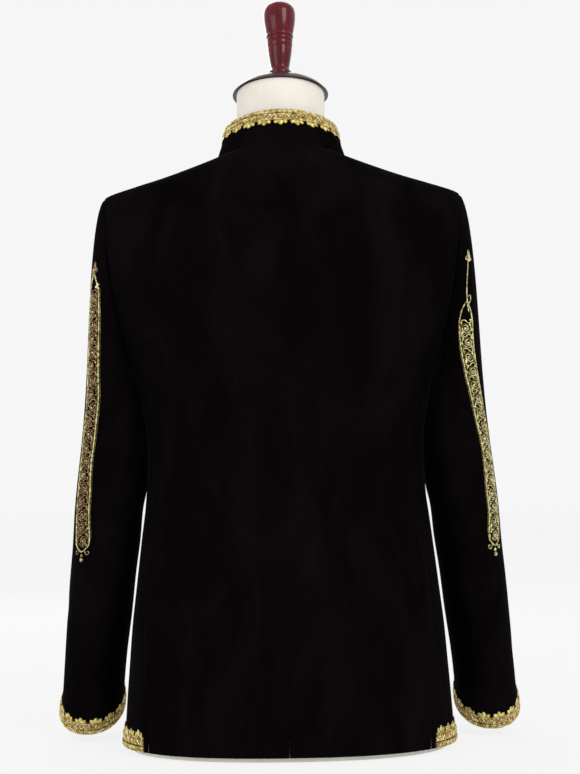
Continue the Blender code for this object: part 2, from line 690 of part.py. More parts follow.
def make_sleeve(home, materials, side, tag):
    """The upper and the under sleeve, parted at the hindarm and forearm seams."""
    place = (lambda g: g) if side > 0 else mirrored
    outer, inner, _ = sleeve_walls(side)
    _, rim = armhole_rim(side)
    inner[0] = rim
    count = outer.shape[1]
    half_gap = SEAM_GAP / 2
    parts = {
        "sleeve_upper": [(FOREARM_COLUMN + k) % count for k in range(count - FOREARM_COLUMN + HINDARM_COLUMN + 1)],
        "sleeve_under": list(range(HINDARM_COLUMN, FOREARM_COLUMN + 1)),
    }
    for name, columns in parts.items():
        edges = {"bottom": SLEEVE_HEAD_GAP, "first": half_gap, "last": half_gap}
        cut_outer, cut_inner = (inset(grid[:, columns], **edges) for grid in (outer, inner))
        wall_object(
            home, f"{name}_{tag}", place(cut_outer), place(cut_inner), materials["velvet"], flip=side > 0
        )
    return outer


def collar_wall(turns, shares):
    """Outer points and outward normals of the stand collar; turn is 0 at the centre back, through +X."""
    turns = np.asarray(turns, float)
    across, along = np.sin(turns), np.cos(turns)
    foot_reach = np.where(along >= 0, NECK_BACK, NECK_FRONT)
    foot_x, foot_y = NECK_HALF_WIDTH * across, foot_reach * along
    level = np.minimum(np.abs(turns), math.pi - math.asin(STEP_IN / NECK_HALF_WIDTH))
    level_reach = np.where(np.cos(level) >= 0, NECK_BACK, NECK_FRONT)
    foot_z = neck_surface_z(NECK_HALF_WIDTH * np.sin(level), level_reach * np.cos(level))
    top_reach = np.where(along >= 0, COLLAR_TOP_BACK, COLLAR_TOP_FRONT)
    rise = np.where(along >= 0, COLLAR_TOP_BACK_Z - COLLAR_TOP_SIDE_Z, COLLAR_TOP_FRONT_Z - COLLAR_TOP_SIDE_Z)
    top_z = COLLAR_TOP_SIDE_Z + rise * along**2
    foot = np.stack([foot_x, foot_y, foot_z], -1)
    top = np.stack([COLLAR_TOP_HALF_WIDTH * across, top_reach * along, top_z], -1)
    flat = unit(np.stack([across / NECK_HALF_WIDTH, along / foot_reach, 0 * across], -1))
    rows = [foot * (1 - s) + top * s + flat * COLLAR_BOW * math.sin(math.pi * s) for s in shares]
    grid = np.array(rows)
    up_way = unit(top - foot)
    normal = unit(flat - up_way * (flat * up_way).sum(-1, keepdims=True))
    return grid, np.broadcast_to(normal, grid.shape)


def collar_turns():
    """Plan angles of the collar's columns, the same as the panels' below it, from end to end."""
    steps = [math.degrees(math.pi - math.asin(x / NECK_HALF_WIDTH)) for x in (STEP_OUT, STEP_IN)]
    end = math.degrees(math.pi - COLLAR_FRONT_GAP / NECK_HALF_WIDTH)
    half = BACK_TURNS + FRONT_TURNS[1:] + (*steps, end)
    return np.radians(np.array([-t for t in reversed(half[1:])] + list(half)))


def make_collar(home, materials):
    outer, normal = collar_wall(collar_turns(), np.linspace(0, 1, COLLAR_ROWS_UP + 1))
    inner = outer - normal * WALL
    outer[0, :, 2] += SEAM_GAP
    inner[0, :, 2] += SEAM_GAP * 2
    wall_object(home, "collar", outer, inner, materials["velvet"], flip=True)
    braid_on(
        home, "collar_trim", outer, normal, COLLAR_BRAID_END, False, True, materials["gold_braid"], flip=False
    )


def scallop_run(length, margin):
    """Places along an edge, and the braid's reach at each, for a whole number of scallops."""
    count = max(1, round((length - 2 * margin) / SCALLOP_PITCH))
    pitch = (length - 2 * margin) / count
    at, reach = [], []
    for k in range(count):
        for share in SCALLOP_SHARES:
            at.append(margin + (k + share) * pitch)
            reach.append(scallop_reach(share))
    at.append(length - margin)
    reach.append(scallop_reach(0.0))
    return np.array(at), np.array(reach)


def scallop_reach(share):
    """The braid's height at a place along one scallop: a pointed leaf between two valleys."""
    rise = 1 - abs(2 * share - 1)
    return BRAID_VALLEY + (BRAID_HEIGHT - BRAID_VALLEY) * rise**0.8


def grid_point(grid, row, column, closed):
    """A point on a grid's faces, at a row and column that may lie between its lines."""
    rows, columns = grid.shape[:2]
    r0 = int(min(max(math.floor(row), 0), rows - 2))
    c0 = math.floor(column)
    if not closed:
        c0 = int(min(max(c0, 0), columns - 2))
    fr, fc = row - r0, column - c0
    a, b = grid[r0, c0 % columns], grid[r0, (c0 + 1) % columns]
    d, e = grid[r0 + 1, c0 % columns], grid[r0 + 1, (c0 + 1) % columns]
    return (a * (1 - fc) + b * fc) * (1 - fr) + (d * (1 - fc) + e * fc) * fr


def climb(grid, column, distance, from_last, closed):
    """The row, counted up or down a column from the grid's edge, that lies this far from the edge."""
    rows = grid.shape[0]
    order = range(rows - 1, 0, -1) if from_last else range(0, rows - 1)
    left = distance
    for r in order:
        other = r - 1 if from_last else r + 1
        step = np.linalg.norm(grid_point(grid, r, column, closed) - grid_point(grid, other, column, closed))
        if step >= left:
            return r + (other - r) * left / step
        left -= step
    return float(order[-1])


def braid_on(home, name, grid, normals, margin, closed, from_last, material, flip):
    """Braid laid on a cloth grid's edge, its scallops pointing away from the edge."""
    columns = grid.shape[1]
    spans = columns if closed else columns - 1
    fine = np.linspace(0, spans, spans * 12 + 1)
    edge_row = grid.shape[0] - 1 if from_last else 0
    edge = np.array([grid_point(grid, edge_row, c, closed) for c in fine])
    along = np.concatenate([[0], np.cumsum(np.linalg.norm(np.diff(edge, axis=0), axis=1))])
    at, reach = scallop_run(along[-1], margin)
    column_at = np.interp(at, along, fine)
    if closed:
        column_at, reach = column_at[:-1], reach[:-1]
    strip, raised = [], []
    for share in (0.0, 1.0):
        low, high = [], []
        for column, full in zip(column_at, reach):
            distance = BRAID_EDGE + (full - BRAID_EDGE) * share
            row = climb(grid, column, distance, from_last, closed)
            point = grid_point(grid, row, column, closed)
            facing = grid_point(normals, row, column, closed)
            facing = facing / np.linalg.norm(facing)
            low.append(point + facing * BRAID_LIFT)
            high.append(point + facing * (BRAID_LIFT + BRAID))
        strip.append(low)
        raised.append(high)
    return wall_object(
        home, name, np.array(raised), np.array(strip), material, flip=flip, closed=closed
    )


def make_hem_trim(home, materials, side, tag, panels):
    """Braid along the hem of the side panel and the front, from the vent to the front edge."""
    place = (lambda g: g) if side > 0 else mirrored
    side_grid = panels["side"][0][:BRAID_ROWS]
    front_grid = panels["front"][0][:BRAID_ROWS]
    joined = np.concatenate([side_grid[:, :-1], front_grid if side > 0 else front_grid[:, :-2]], axis=1)
    round_way = np.gradient(joined, axis=1)
    up_way = np.gradient(joined, axis=0)
    normals = unit(np.cross(up_way, round_way))
    braid_on(
        home, f"hem_trim_{tag}", place(joined), place(normals), HEM_BRAID_END, False, False,
        materials["gold_braid"], flip=side > 0,
    )


def make_cuff_trim(home, materials, side, tag, sleeve):
    place = (lambda g: g) if side > 0 else mirrored
    tail = sleeve[-BRAID_ROWS:]
    normals = ring_normals(tail)
    braid_on(
        home, f"cuff_trim_{tag}", place(tail), place(normals), 0.0, True, True,
        materials["gold_braid"], flip=side < 0,
    )


def sleeve_row_at(sleeve, column, z):
    """The row of a sleeve column, between its rings, that lies at this level."""
    levels = np.array([grid_point(sleeve, r, column, True)[2] for r in range(sleeve.shape[0])])
    return float(np.interp(-z, -levels, np.arange(len(levels))))


def band_place(sleeve, normals, across, z, lift):
    """A point of the embroidery: across is metres from its middle line, towards the back."""
    middle_row = sleeve_row_at(sleeve, BAND_MIDDLE_COLUMN, z)
    here = grid_point(sleeve, middle_row, BAND_MIDDLE_COLUMN, True)
    beside = grid_point(sleeve, middle_row, BAND_MIDDLE_COLUMN + 0.5, True)
    column = BAND_MIDDLE_COLUMN + 0.5 * across / np.linalg.norm(beside - here)
    point = grid_point(sleeve, middle_row, column, True)
    facing = grid_point(normals, middle_row, column, True)
    return point + facing / np.linalg.norm(facing) * lift


def cord_object(home, name, points, radius, material, cyclic):
    curve = bpy.data.curves.new(name, "CURVE")
    curve.dimensions = "3D"
    curve.bevel_depth = radius
    curve.bevel_resolution = 0
    curve.use_fill_caps = not cyclic
    spline = curve.splines.new("POLY")
    spline.points.add(len(points) - 1)
    for spot, point in zip(spline.points, points):
        spot.co = (*[float(c) for c in point], 1.0)
    spline.use_cyclic_u = cyclic
    curve.materials.append(material)
    made = bpy.data.objects.new(name, curve)
    home.objects.link(made)
    return made


def make_sleeve_band(home, materials, side, tag, sleeve):
    """The raised border cord of the sleeve's embroidery, and the running scroll inside it."""
    place = np.array([1.0 if side > 0 else -1.0, 1.0, 1.0])
    normals = ring_normals(sleeve)
    border, scroll = [], []
    tall = BAND_TOP_Z - BAND_BOTTOM_Z
    for k in range(BAND_STEPS + 1):
        z = BAND_BOTTOM_Z + tall * k / BAND_STEPS
        border.append((BAND_HALF_WIDTH, z))
    border.append((0.0, BAND_TOP_Z + BAND_HALF_WIDTH * 0.8))
    for k in range(BAND_STEPS + 1):
        z = BAND_TOP_Z - tall * k / BAND_STEPS
        border.append((-BAND_HALF_WIDTH, z))
    border.append((0.0, BAND_BOTTOM_Z - BAND_HALF_WIDTH * 0.8))
    lift = BAND_CORD + SEAM_GAP * 2
    points = [band_place(sleeve, normals, across, z, lift) * place for across, z in border]
    cord_object(home, f"sleeve_band_{tag}", points, BAND_CORD, materials["gold_braid"], True)
    steps = SCROLL_WAVES * 8
    for k in range(steps + 1):
        z = BAND_BOTTOM_Z + 0.004 + (tall - 0.008) * k / steps
        across = SCROLL_HALF_WIDTH * math.sin(2 * math.pi * SCROLL_WAVES * k / steps)
        scroll.append((across, z))
    lift = SCROLL_CORD + SEAM_GAP * 2
    points = [band_place(sleeve, normals, across, z, lift) * place for across, z in scroll]
    cord_object(home, f"sleeve_scroll_{tag}", points, SCROLL_CORD, materials["gold_braid"], False)


def turned_object(home, name, profile, sides, material):
    """A profile of radius and height, top to bottom, turned about Z."""
    mesh = bpy.data.meshes.new(name)
    vertices = [(radius, 0.0, height) for radius, height in profile]
    mesh.from_pydata(vertices, [(k, k + 1) for k in range(len(vertices) - 1)], [])
    mesh.materials.append(material)
    made = bpy.data.objects.new(name, mesh)
    home.objects.link(made)
    screw = made.modifiers.new("turn", "SCREW")
    screw.steps = sides
    screw.render_steps = sides
    screw.use_merge_vertices = True
    screw.merge_threshold = 0.00005
    screw.use_smooth_shade = True
    return made


def make_buttons(home, materials, front):
    """Domed buttons on the left front's faces at the centre front, each facing out from the cloth."""
    share = front[0, -2, 0] / (front[0, -2, 0] - front[0, -1, 0])
    line = front[:, -2] * (1 - share) + front[:, -1] * share
    for k in range(BUTTON_COUNT):
        z = BUTTON_TOP_Z + (BUTTON_BOTTOM_Z - BUTTON_TOP_Z) * k / (BUTTON_COUNT - 1)
        low, high = (np.array([0.0, np.interp(z + d, line[:, 2], line[:, 1]), z + d]) for d in (-0.008, 0.008))
        facing = unit(np.cross(high - low, np.array([-1.0, 0.0, 0.0])))
        seat = (low + high) / 2 + facing * BUTTON_LIFT
        profile = [
            (0.0, BUTTON_HEIGHT),
            (BUTTON_RADIUS * 0.55, BUTTON_HEIGHT * 0.86),
            (BUTTON_RADIUS * 0.90, BUTTON_HEIGHT * 0.48),
            (BUTTON_RADIUS, BUTTON_HEIGHT * 0.22),
            (BUTTON_RADIUS * 0.86, 0.0),
            (0.0, 0.0),
        ]
        made = turned_object(home, f"button_{k + 1}", profile, BUTTON_SIDES, materials["gold_button"])
        made.location = [float(c) for c in seat]
        made.rotation_euler = (math.atan2(-float(facing[1]), float(facing[2])), 0.0, 0.0)


def make_form(home, materials):
    """The covered torso: the body's surface drawn in, with rounded, closed arm ends and a flat base."""
    angles = np.arange(FORM_SIDES) * 2 * math.pi / FORM_SIDES
    rings = []
    for z in FORM_TURN_ROWS:
        level = max(z, BODY_SECTIONS[0][0])
        clear = read_table(FORM_COLUMNS, FORM_FIT, "clear", z)
        widest = read_table(FORM_COLUMNS, FORM_FIT, "widest", z)
        levels = np.full(FORM_SIDES, level)
        near_front = np.exp(-(((np.degrees(angles) - 180) / FORM_FRONT_REACH) ** 2))
        drawn_in = WALL + clear + FORM_FRONT_CLEAR * near_front
        point = body_bare(angles, levels) - body_normal(angles, levels) * drawn_in[:, None]
        squeeze = min(1.0, float(widest / np.abs(point[:, 0]).max()))
        point[:, 0] *= squeeze
        if z < FORM_LEVEL_BELOW:
            point[:, 2] = z
        rings.append(point)
    lid = rings[-1].copy()
    lid[:, :2] *= FORM_LID_SHARE
    lid[:, 2] = FORM_TOP_Z
    rings.append(lid)
    vertices = np.array(rings).reshape(-1, 3)
    faces = ring_faces(len(rings), FORM_SIDES)
    add_object(home, "form_body", vertices, faces, materials["cover"])


def ring_faces(rings, sides):
    """Faces between stacked rings, bottom to top, with both ends closed."""
    faces = []
    for r in range(rings - 1):
        for c in range(sides):
            a, b = r * sides + c, r * sides + (c + 1) % sides
            faces.append((b, a, a + sides, b + sides))
    faces.append(tuple(range(sides)))
    faces.append(tuple(range(rings * sides - 1, (rings - 1) * sides - 1, -1)))
    return faces


def make_neck(home, materials):
    """The covered neck, cut at its top by a plane that leans forward, with its plate and finial."""
    angles = np.arange(NECK_SIDES) * 2 * math.pi / NECK_SIDES
    across, along = np.sin(angles), np.cos(angles)
    rings = []
    for share in (0.0, 0.12, 0.28, 0.5, 0.75, 1.0):
        radius = NECK_RADIUS + (NECK_FOOT_RADIUS - NECK_RADIUS) * (1 - share) ** 4
        x, y = radius * across, radius * NECK_DEPTH_SHARE * along
        top = NECK_TOP_Z + y * math.tan(NECK_TOP_SLOPE)
        foot = FORM_TOP_Z + SEAM_GAP
        rings.append(np.stack([x, y, foot + (top - foot) * share], -1))
    vertices = np.array(rings).reshape(-1, 3)
    add_object(home, "form_neck", vertices, ring_faces(len(rings), NECK_SIDES), materials["cover"])
    frame = bpy.data.objects.new("neck_top", None)
    frame.location = (0.0, 0.0, NECK_TOP_Z)
    frame.rotation_euler = (NECK_TOP_SLOPE, 0.0, 0.0)
    home.objects.link(frame)
    cap = turned_object(home, "form_cap", CAP_PROFILE, NECK_SIDES, materials["cap"])
    cap.parent = frame
    finial = turned_object(home, "form_finial", FINIAL_PROFILE, TURNED_SIDES, materials["lacquer"])
    finial.location = (0.0, 0.0, CAP_PROFILE[0][1])
    finial.parent = frame


def main():
    home = new_collection()
    materials = new_materials()
    for side, tag in ((1, "left"), (-1, "right")):
        panels = make_body_panels(home, materials, side, tag)
        sleeve = make_sleeve(home, materials, side, tag)
        make_hem_trim(home, materials, side, tag, panels)
        make_cuff_trim(home, materials, side, tag, sleeve)
        make_sleeve_band(home, materials, side, tag, sleeve)
        if side > 0:
            left_front = panels["front"][0]
    make_collar(home, materials)
    make_buttons(home, materials, left_front)
    make_form(home, materials)
    make_neck(home, materials)


main()
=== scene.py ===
# Black velvet stand-collar jacket with gold braid, on a limbless dress form, seen from behind.
# Metres, +Z up. The wearer faces -Y, the wearer's left is +X, z = 0 is the form's flat base.
import math

import bmesh
import bpy
import numpy as np
from mathutils import Matrix, Vector


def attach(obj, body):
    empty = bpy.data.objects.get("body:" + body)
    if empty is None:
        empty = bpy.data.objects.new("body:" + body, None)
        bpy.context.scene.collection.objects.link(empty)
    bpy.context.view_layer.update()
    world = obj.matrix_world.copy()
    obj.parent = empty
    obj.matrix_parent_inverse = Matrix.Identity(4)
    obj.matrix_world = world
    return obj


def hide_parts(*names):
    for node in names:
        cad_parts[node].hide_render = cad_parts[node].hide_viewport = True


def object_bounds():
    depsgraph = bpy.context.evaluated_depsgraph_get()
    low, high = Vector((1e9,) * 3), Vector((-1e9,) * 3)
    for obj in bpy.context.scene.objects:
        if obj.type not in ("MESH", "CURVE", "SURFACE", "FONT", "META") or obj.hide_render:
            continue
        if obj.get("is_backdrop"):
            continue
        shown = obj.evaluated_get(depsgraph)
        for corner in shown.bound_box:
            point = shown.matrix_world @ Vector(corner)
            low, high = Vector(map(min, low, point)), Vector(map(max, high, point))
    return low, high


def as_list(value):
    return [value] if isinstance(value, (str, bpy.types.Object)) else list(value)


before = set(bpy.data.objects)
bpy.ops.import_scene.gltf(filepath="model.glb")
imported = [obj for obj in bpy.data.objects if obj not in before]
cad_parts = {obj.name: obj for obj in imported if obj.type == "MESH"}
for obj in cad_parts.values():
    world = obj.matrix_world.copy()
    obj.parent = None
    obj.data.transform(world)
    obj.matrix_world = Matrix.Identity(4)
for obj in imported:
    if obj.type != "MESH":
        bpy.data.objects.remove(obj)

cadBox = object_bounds()
sides = ((1, "left"), (-1, "right"))


# Small helpers for colours, nodes and meshes

def hexToLinear(code):
    # sRGB hex to a linear colour with alpha
    parts = [int(code[k:k + 2], 16) / 255 for k in (1, 3, 5)]
    return tuple(c / 12.92 if c <= 0.04045 else ((c + 0.055) / 1.055) ** 2.4 for c in parts) + (1.0,)


def addNode(tree, kind, values=None, links=None, **settings):
    # one node with its settings, its socket values and its incoming links
    node = tree.nodes.new(kind)
    for name, value in settings.items():
        setattr(node, name, value)
    for socket, value in (values or {}).items():
        node.inputs[socket].default_value = value
    for socket, source in (links or {}).items():
        tree.links.new(source, node.inputs[socket])
    return node


def newMaterial(name, values):
    # a material with its shader and a texture coordinate in metres
    material = bpy.data.materials.new(name)
    material.use_nodes = True
    tree = material.node_tree
    shader = tree.nodes["Principled BSDF"]
    for socket, value in values.items():
        shader.inputs[socket].default_value = value
    place = addNode(tree, "ShaderNodeTexCoord").outputs["Object"]
    return material, tree, shader, place


def addMesh(name, points, faces, material, smooth=True, sharpAngle=None):
    mesh = bpy.data.meshes.new(name)
    mesh.from_pydata(np.asarray(points, float).tolist(), [], faces)
    mesh.materials.append(material)
    if smooth:
        mesh.shade_smooth()
    if sharpAngle:
        mesh.set_sharp_from_angle(angle=math.radians(sharpAngle))
    mesh.update()
    made = bpy.data.objects.new(name, mesh)
    bpy.context.scene.collection.objects.link(made)
    return made


def finishPiece(piece, slotName, *nodes):
    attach(piece, "root")
    if nodes:
        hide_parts(*nodes)
    return piece


# Materials

def addNoise(tree, place, size, detail, **more):
    # a noise with lumps of a size in metres
    values = {"Scale": 1 / size, "Detail": detail, **more}
    return addNode(tree, "ShaderNodeTexNoise", values, {"Vector": place}).outputs[0]


def addColours(tree, shader, source, *stops):
    # the base colour by a texture's value; each stop is a place from 0 to 1 and a hex colour
    ramp = addNode(tree, "ShaderNodeValToRGB", None, {"Fac": source})
    elements = ramp.color_ramp.elements
    for element, (at, code) in zip((elements[0], elements[1]), (stops[0], stops[-1])):
        element.position = at
        element.color = hexToLinear(code)
    for at, code in stops[1:-1]:
        elements.new(at).color = hexToLinear(code)
    tree.links.new(ramp.outputs[0], shader.inputs["Base Color"])


def addRoughness(tree, shader, source, low, high):
    rough = addNode(tree, "ShaderNodeMapRange", {"To Min": low, "To Max": high}, {"Value": source})
    tree.links.new(rough.outputs[0], shader.inputs["Roughness"])


def addBump(tree, shader, height, strength, distance, under=None):
    # a bump on the shader, over another bump if one is given
    links = {"Height": height} if under is None else {"Height": height, "Normal": under}
    bump = addNode(tree, "ShaderNodeBump", {"Strength": strength, "Distance": distance}, links).outputs[0]
    tree.links.new(bump, shader.inputs["Normal"])
    return bump


def addStretch(tree, place, along):
    # the place with its z drawn out, for streaks and grain that run upwards
    return addNode(tree, "ShaderNodeMapping", {"Scale": (1.0, 1.0, along)}, {"Vector": place}).outputs[0]


def addMath(tree, operation, first, second=None):
    # one step of arithmetic on outputs or plain numbers
    given = {0: first, 1: second}
    numbers = {k: v for k, v in given.items() if isinstance(v, float)}
    links = {k: v for k, v in given.items() if v is not None and k not in numbers}
    return addNode(tree, "ShaderNodeMath", numbers, links, operation=operation).outputs[0]


def makeVelvet():
    # Cotton velvet: a cut pile on a woven ground, brushed downwards. The eye sees a deep black that
    # turns to a soft grey bloom where the pile is seen edge on, with faint streaks where it was stroked.
    material, tree, shader, place = newMaterial("cottonVelvet", {
        "IOR": 1.45, "Specular IOR Level": 0.0, "Sheen Weight": 0.036, "Sheen Roughness": 0.30,
        "Sheen Tint": hexToLinear("#b9b2b8"), "Roughness": 0.9,
    })
    drawn = addStretch(tree, place, along=0.38)
    strokes = addNoise(tree, drawn, size=0.055, detail=4.0, Roughness=0.62, Distortion=0.8)
    addColours(tree, shader, strokes, (0.38, "#070506"), (0.72, "#0d0a0b"))
    lumps = addNoise(tree, drawn, size=0.009, detail=3.0)
    addRoughness(tree, shader, lumps, low=0.78, high=0.95)
    soft = addBump(tree, shader, lumps, strength=0.30, distance=0.0006)
    # the pile's tufts are 0.3 mm apart, drawn at 1.1 mm so that they show
    tufts = addNoise(tree, place, size=0.0011, detail=2.0)
    addBump(tree, shader, tufts, strength=0.35, distance=0.0004, under=soft)
    return material


def makeMetalThread(name, paintedShade, body, paintedGlint, metallic, roughness, patch, bump):
    # Metallised yarn: a flat gold strip wound on a cotton core, whose warm glints are broken up by the turns
    # of the strip. The base colour goes in random patches from a brown painted shade, through the yarn's
    # gold, to a pale painted glint.
    material, tree, shader, place = newMaterial(name, {
        "Metallic": metallic, "Roughness": roughness, "Specular IOR Level": 0.5,
    })
    patches = addNoise(tree, place, size=patch, detail=3.0)
    # random patches of painted shade, the yarn's own gold and painted glint
    addColours(tree, shader, patches, (0.32, paintedShade), (0.5, body), (0.68, paintedGlint))
    # the strip's turns are 0.15 mm apart, drawn at 0.7 mm so that they show
    turns = addNoise(tree, place, size=0.0007, detail=2.0)
    addBump(tree, shader, turns, strength=bump, distance=0.0005)
    return material


def makeSeedBead():
    # Glass seed beads and flat spangles lined with copper: small rosy glints among the gold.
    material, tree, shader, place = newMaterial("copperLinedBead", {
        "Metallic": 0.55, "Roughness": 0.16, "Coat Weight": 0.6, "Coat Roughness": 0.05,
    })
    hue = addNoise(tree, place, size=0.006, detail=1.0)
    addColours(tree, shader, hue, (0.40, "#8a5233"), (0.62, "#ecd2b4"))
    return material


def makeBackingTape():
    # Woven tape under the braid: dull old-gold cotton, its dark brown partly its own colour and partly
    # painted shade under the cords it carries.
    material, tree, shader, place = newMaterial("wovenTapePaintedShade", {"Roughness": 0.8, "Metallic": 0.15})
    weft = addNode(tree, "ShaderNodeTexVoronoi", {"Scale": 1 / 0.0012}, {"Vector": place}).outputs[0]
    # the tape's brown is partly its own colour and partly painted shade from the cords above it
    addColours(tree, shader, weft, (0.0, "#5c4519"), (1.0, "#2c1e0c"))
    addBump(tree, shader, weft, strength=0.6, distance=0.0004)
    return material


def makeJersey():
    # Cotton jersey stretched over a padded form: matt cream with fine knit wales running up,
    # and faint grubby patches from handling.
    material, tree, shader, place = newMaterial("cottonJersey", {
        "Roughness": 0.88, "Specular IOR Level": 0.2, "Sheen Weight": 0.12, "Sheen Roughness": 0.5,
    })
    spots = addNoise(tree, place, size=0.045, detail=5.0)
    addColours(tree, shader, spots, (0.30, "#d8d2c6"), (0.70, "#e3dfd5"))
    # wales run up the form, 220 radians of ripple to each radian about it, so 1.5 mm apart on the neck,
    # and courses go round it, 0.9 mm apart
    x, y, z = addNode(tree, "ShaderNodeSeparateXYZ", None, {"Vector": place}).outputs
    wale = addMath(tree, "MULTIPLY", addMath(tree, "ARCTAN2", y, x), 220.0)
    course = addMath(tree, "MULTIPLY", z, 2 * math.pi / 0.0009)
    knit = addMath(tree, "ADD", addMath(tree, "SINE", wale), addMath(tree, "SINE", course))
    addBump(tree, shader, knit, strength=0.22, distance=0.0003)
    return material


def makeLacqueredWood():
    # Beech turned on a lathe, stained and dipped in red-brown lacquer: a deep wet gloss, with the
    # grain only just showing under the coat.
    material, tree, shader, place = newMaterial("lacqueredBeech", {
        "Roughness": 0.22, "Specular IOR Level": 0.10, "Coat Weight": 0.30, "Coat Roughness": 0.03,
        "Coat IOR": 1.5,
    })
    grain = addNoise(tree, addStretch(tree, place, along=0.10), size=0.0030, detail=5.0, Distortion=1.2)
    addColours(tree, shader, grain, (0.30, "#34030a"), (0.75, "#6a0716"))
    addBump(tree, shader, grain, strength=0.05, distance=0.0003)
    return material


def makeNeckPlate():
    # Moulded acetate plate, polished: near-black burgundy with a mauve gloss and fine rub marks.
    material, tree, shader, place = newMaterial("burgundyAcetate", {
        "Roughness": 0.3, "IOR": 1.49, "Specular IOR Level": 0.35,
    })
    cloud = addNoise(tree, place, size=0.012, detail=3.0)
    addColours(tree, shader, cloud, (0.0, "#1d0a0e"), (1.0, "#43202a"))
    addRoughness(tree, shader, addNoise(tree, place, size=0.0015, detail=4.0), low=0.20, high=0.38)
    return material


def makeBrass():
    # Stamped brass buttons, polished and lightly rubbed: warm gold, duller in the hollows.
    material, tree, shader, place = newMaterial("stampedBrass", {"Metallic": 1.0, "Roughness": 0.26})
    rubs = addNoise(tree, place, size=0.0025, detail=5.0)
    addColours(tree, shader, rubs, (0.0, "#a37c34"), (1.0, "#dcb566"))
    addRoughness(tree, shader, rubs, low=0.18, high=0.36)
    return material


def makeScrewSteel():
    # Nickel-plated steel screw head: small, bright and lightly brushed.
    material, tree, shader, place = newMaterial("nickelPlatedSteel", {"Metallic": 1.0, "Roughness": 0.22})
    brushed = addNoise(tree, place, size=0.0008, detail=2.0)
    addColours(tree, shader, brushed, (0.0, "#a8a7a3"), (1.0, "#dcdad4"))
    return material


velvet = makeVelvet()
# each yarn: its painted shade, its own colour and its painted glint, then metallic, roughness, patch size and
# bump
braidThread = makeMetalThread("goldBraidYarn", paintedShade="#7c652e", body="#b9a35a", paintedGlint="#f0e6b4",
                              metallic=0.72, roughness=0.36, patch=0.0040, bump=0.45)
leafThread = makeMetalThread("goldLeafYarn", paintedShade="#948232", body="#c8b858", paintedGlint="#f0ea9e",
                             metallic=0.70, roughness=0.34, patch=0.0030, bump=0.45)
sleeveThread = makeMetalThread("paleGoldYarn", paintedShade="#625e36", body="#bab57a", paintedGlint="#eeeabc",
                               metallic=0.65, roughness=0.42, patch=0.0035, bump=0.40)
# a darker, browner gold, used only for the left band's scroll
dullSleeveThread = makeMetalThread("darkerGoldYarn", paintedShade="#4a341a", body="#85693f", paintedGlint="#c9b48c",
                                   metallic=0.65, roughness=0.45, patch=0.0030, bump=0.40)
fillerThread = makeMetalThread("agedGoldYarn", paintedShade="#574322", body="#8d7442", paintedGlint="#c2a868",
                               metallic=0.60, roughness=0.46, patch=0.0035, bump=0.40)
# black silk twist is plain dyed silk, so nothing of it is metal; the eye sees a dull black ridge
holeThread = makeMetalThread("blackSilkTwist", paintedShade="#0b090a", body="#171416", paintedGlint="#2a2628",
                             metallic=0.0, roughness=0.5, patch=0.0030, bump=0.30)
bead = makeSeedBead()
tape = makeBackingTape()
jersey = makeJersey()
lacquer = makeLacqueredWood()
acetate = makeNeckPlate()
brass = makeBrass()
screwSteel = makeScrewSteel()
print("materials made")


# The jacket's body as a surface: rings of z, half width, blade width, back and front depth

body = {
    "rows": (
        (0.006, 0.1942, 0.1942, 0.128, 0.120), (0.050, 0.1915, 0.1915, 0.128, 0.120),
        (0.100, 0.1878, 0.1878, 0.126, 0.118), (0.146, 0.1842, 0.1842, 0.122, 0.115),
        (0.183, 0.1800, 0.1800, 0.117, 0.112), (0.240, 0.1735, 0.1735, 0.108, 0.107),
        (0.283, 0.1685, 0.1685, 0.102, 0.105), (0.320, 0.1655, 0.1655, 0.099, 0.106),
        (0.360, 0.1655, 0.1655, 0.101, 0.110), (0.400, 0.1710, 0.1710, 0.108, 0.116),
        (0.450, 0.1840, 0.1840, 0.116, 0.123), (0.496, 0.2030, 0.2030, 0.120, 0.124),
        (0.530, 0.2160, 0.2160, 0.119, 0.119), (0.560, 0.2240, 0.2240, 0.116, 0.111),
        (0.600, 0.2285, 0.2282, 0.108, 0.097), (0.625, 0.2260, 0.2233, 0.101, 0.085),
        (0.642, 0.2230, 0.2160, 0.0955, 0.0755), (0.650, 0.2198, 0.2092, 0.0925, 0.0715),
        (0.656, 0.2140, 0.2010, 0.0902, 0.0690), (0.664, 0.1860, 0.1828, 0.0875, 0.0662),
        (0.671, 0.1610, 0.1600, 0.0854, 0.0640), (0.685, 0.1185, 0.1185, 0.0814, 0.0612),
        (0.699, 0.0805, 0.0805, 0.0773, 0.0590), (0.720, 0.0412, 0.0412, 0.0712, 0.0560),
    ),
    "bladePower": 10.0,
    "squareness": 2.3,
    "wall": 0.002,
    "seamGap": 0.00012,
    "levels": (0.006, 0.030, 0.062, 0.100, 0.146, 0.194, 0.240, 0.283, 0.320, 0.360, 0.400, 0.435, 0.464),
    "stretchFrom": 0.283,
    "rowStep": 0.006,  # spacing of the fine rows
    "shoulderSteps": 26,
    "risePower": 6,  # how late a column bends to its place on the neckline
    "solveSteps": 40,
    "neckHalf": 0.0795,
    "neckBack": 0.0760,
    "neckFront": 0.0660,
    "neckLevels": (0.630, 0.719),
}
columnOf = {"halfWidth": 1, "bladeWidth": 2, "back": 3, "front": 4}
armhole = {"top": 0.656, "middle": 0.553, "bottom": 0.452, "reach": 0.0565, "squareness": 2.2,
           "points": 20, "join": 7, "finer": 6}


def hermite(t, start, leave, end, arrive):
    # a cubic between two values with a slope at each
    return ((2 * t**3 - 3 * t**2 + 1) * start + (t**3 - 2 * t**2 + t) * leave
            + (3 * t**2 - 2 * t**3) * end + (t**3 - t**2) * arrive)


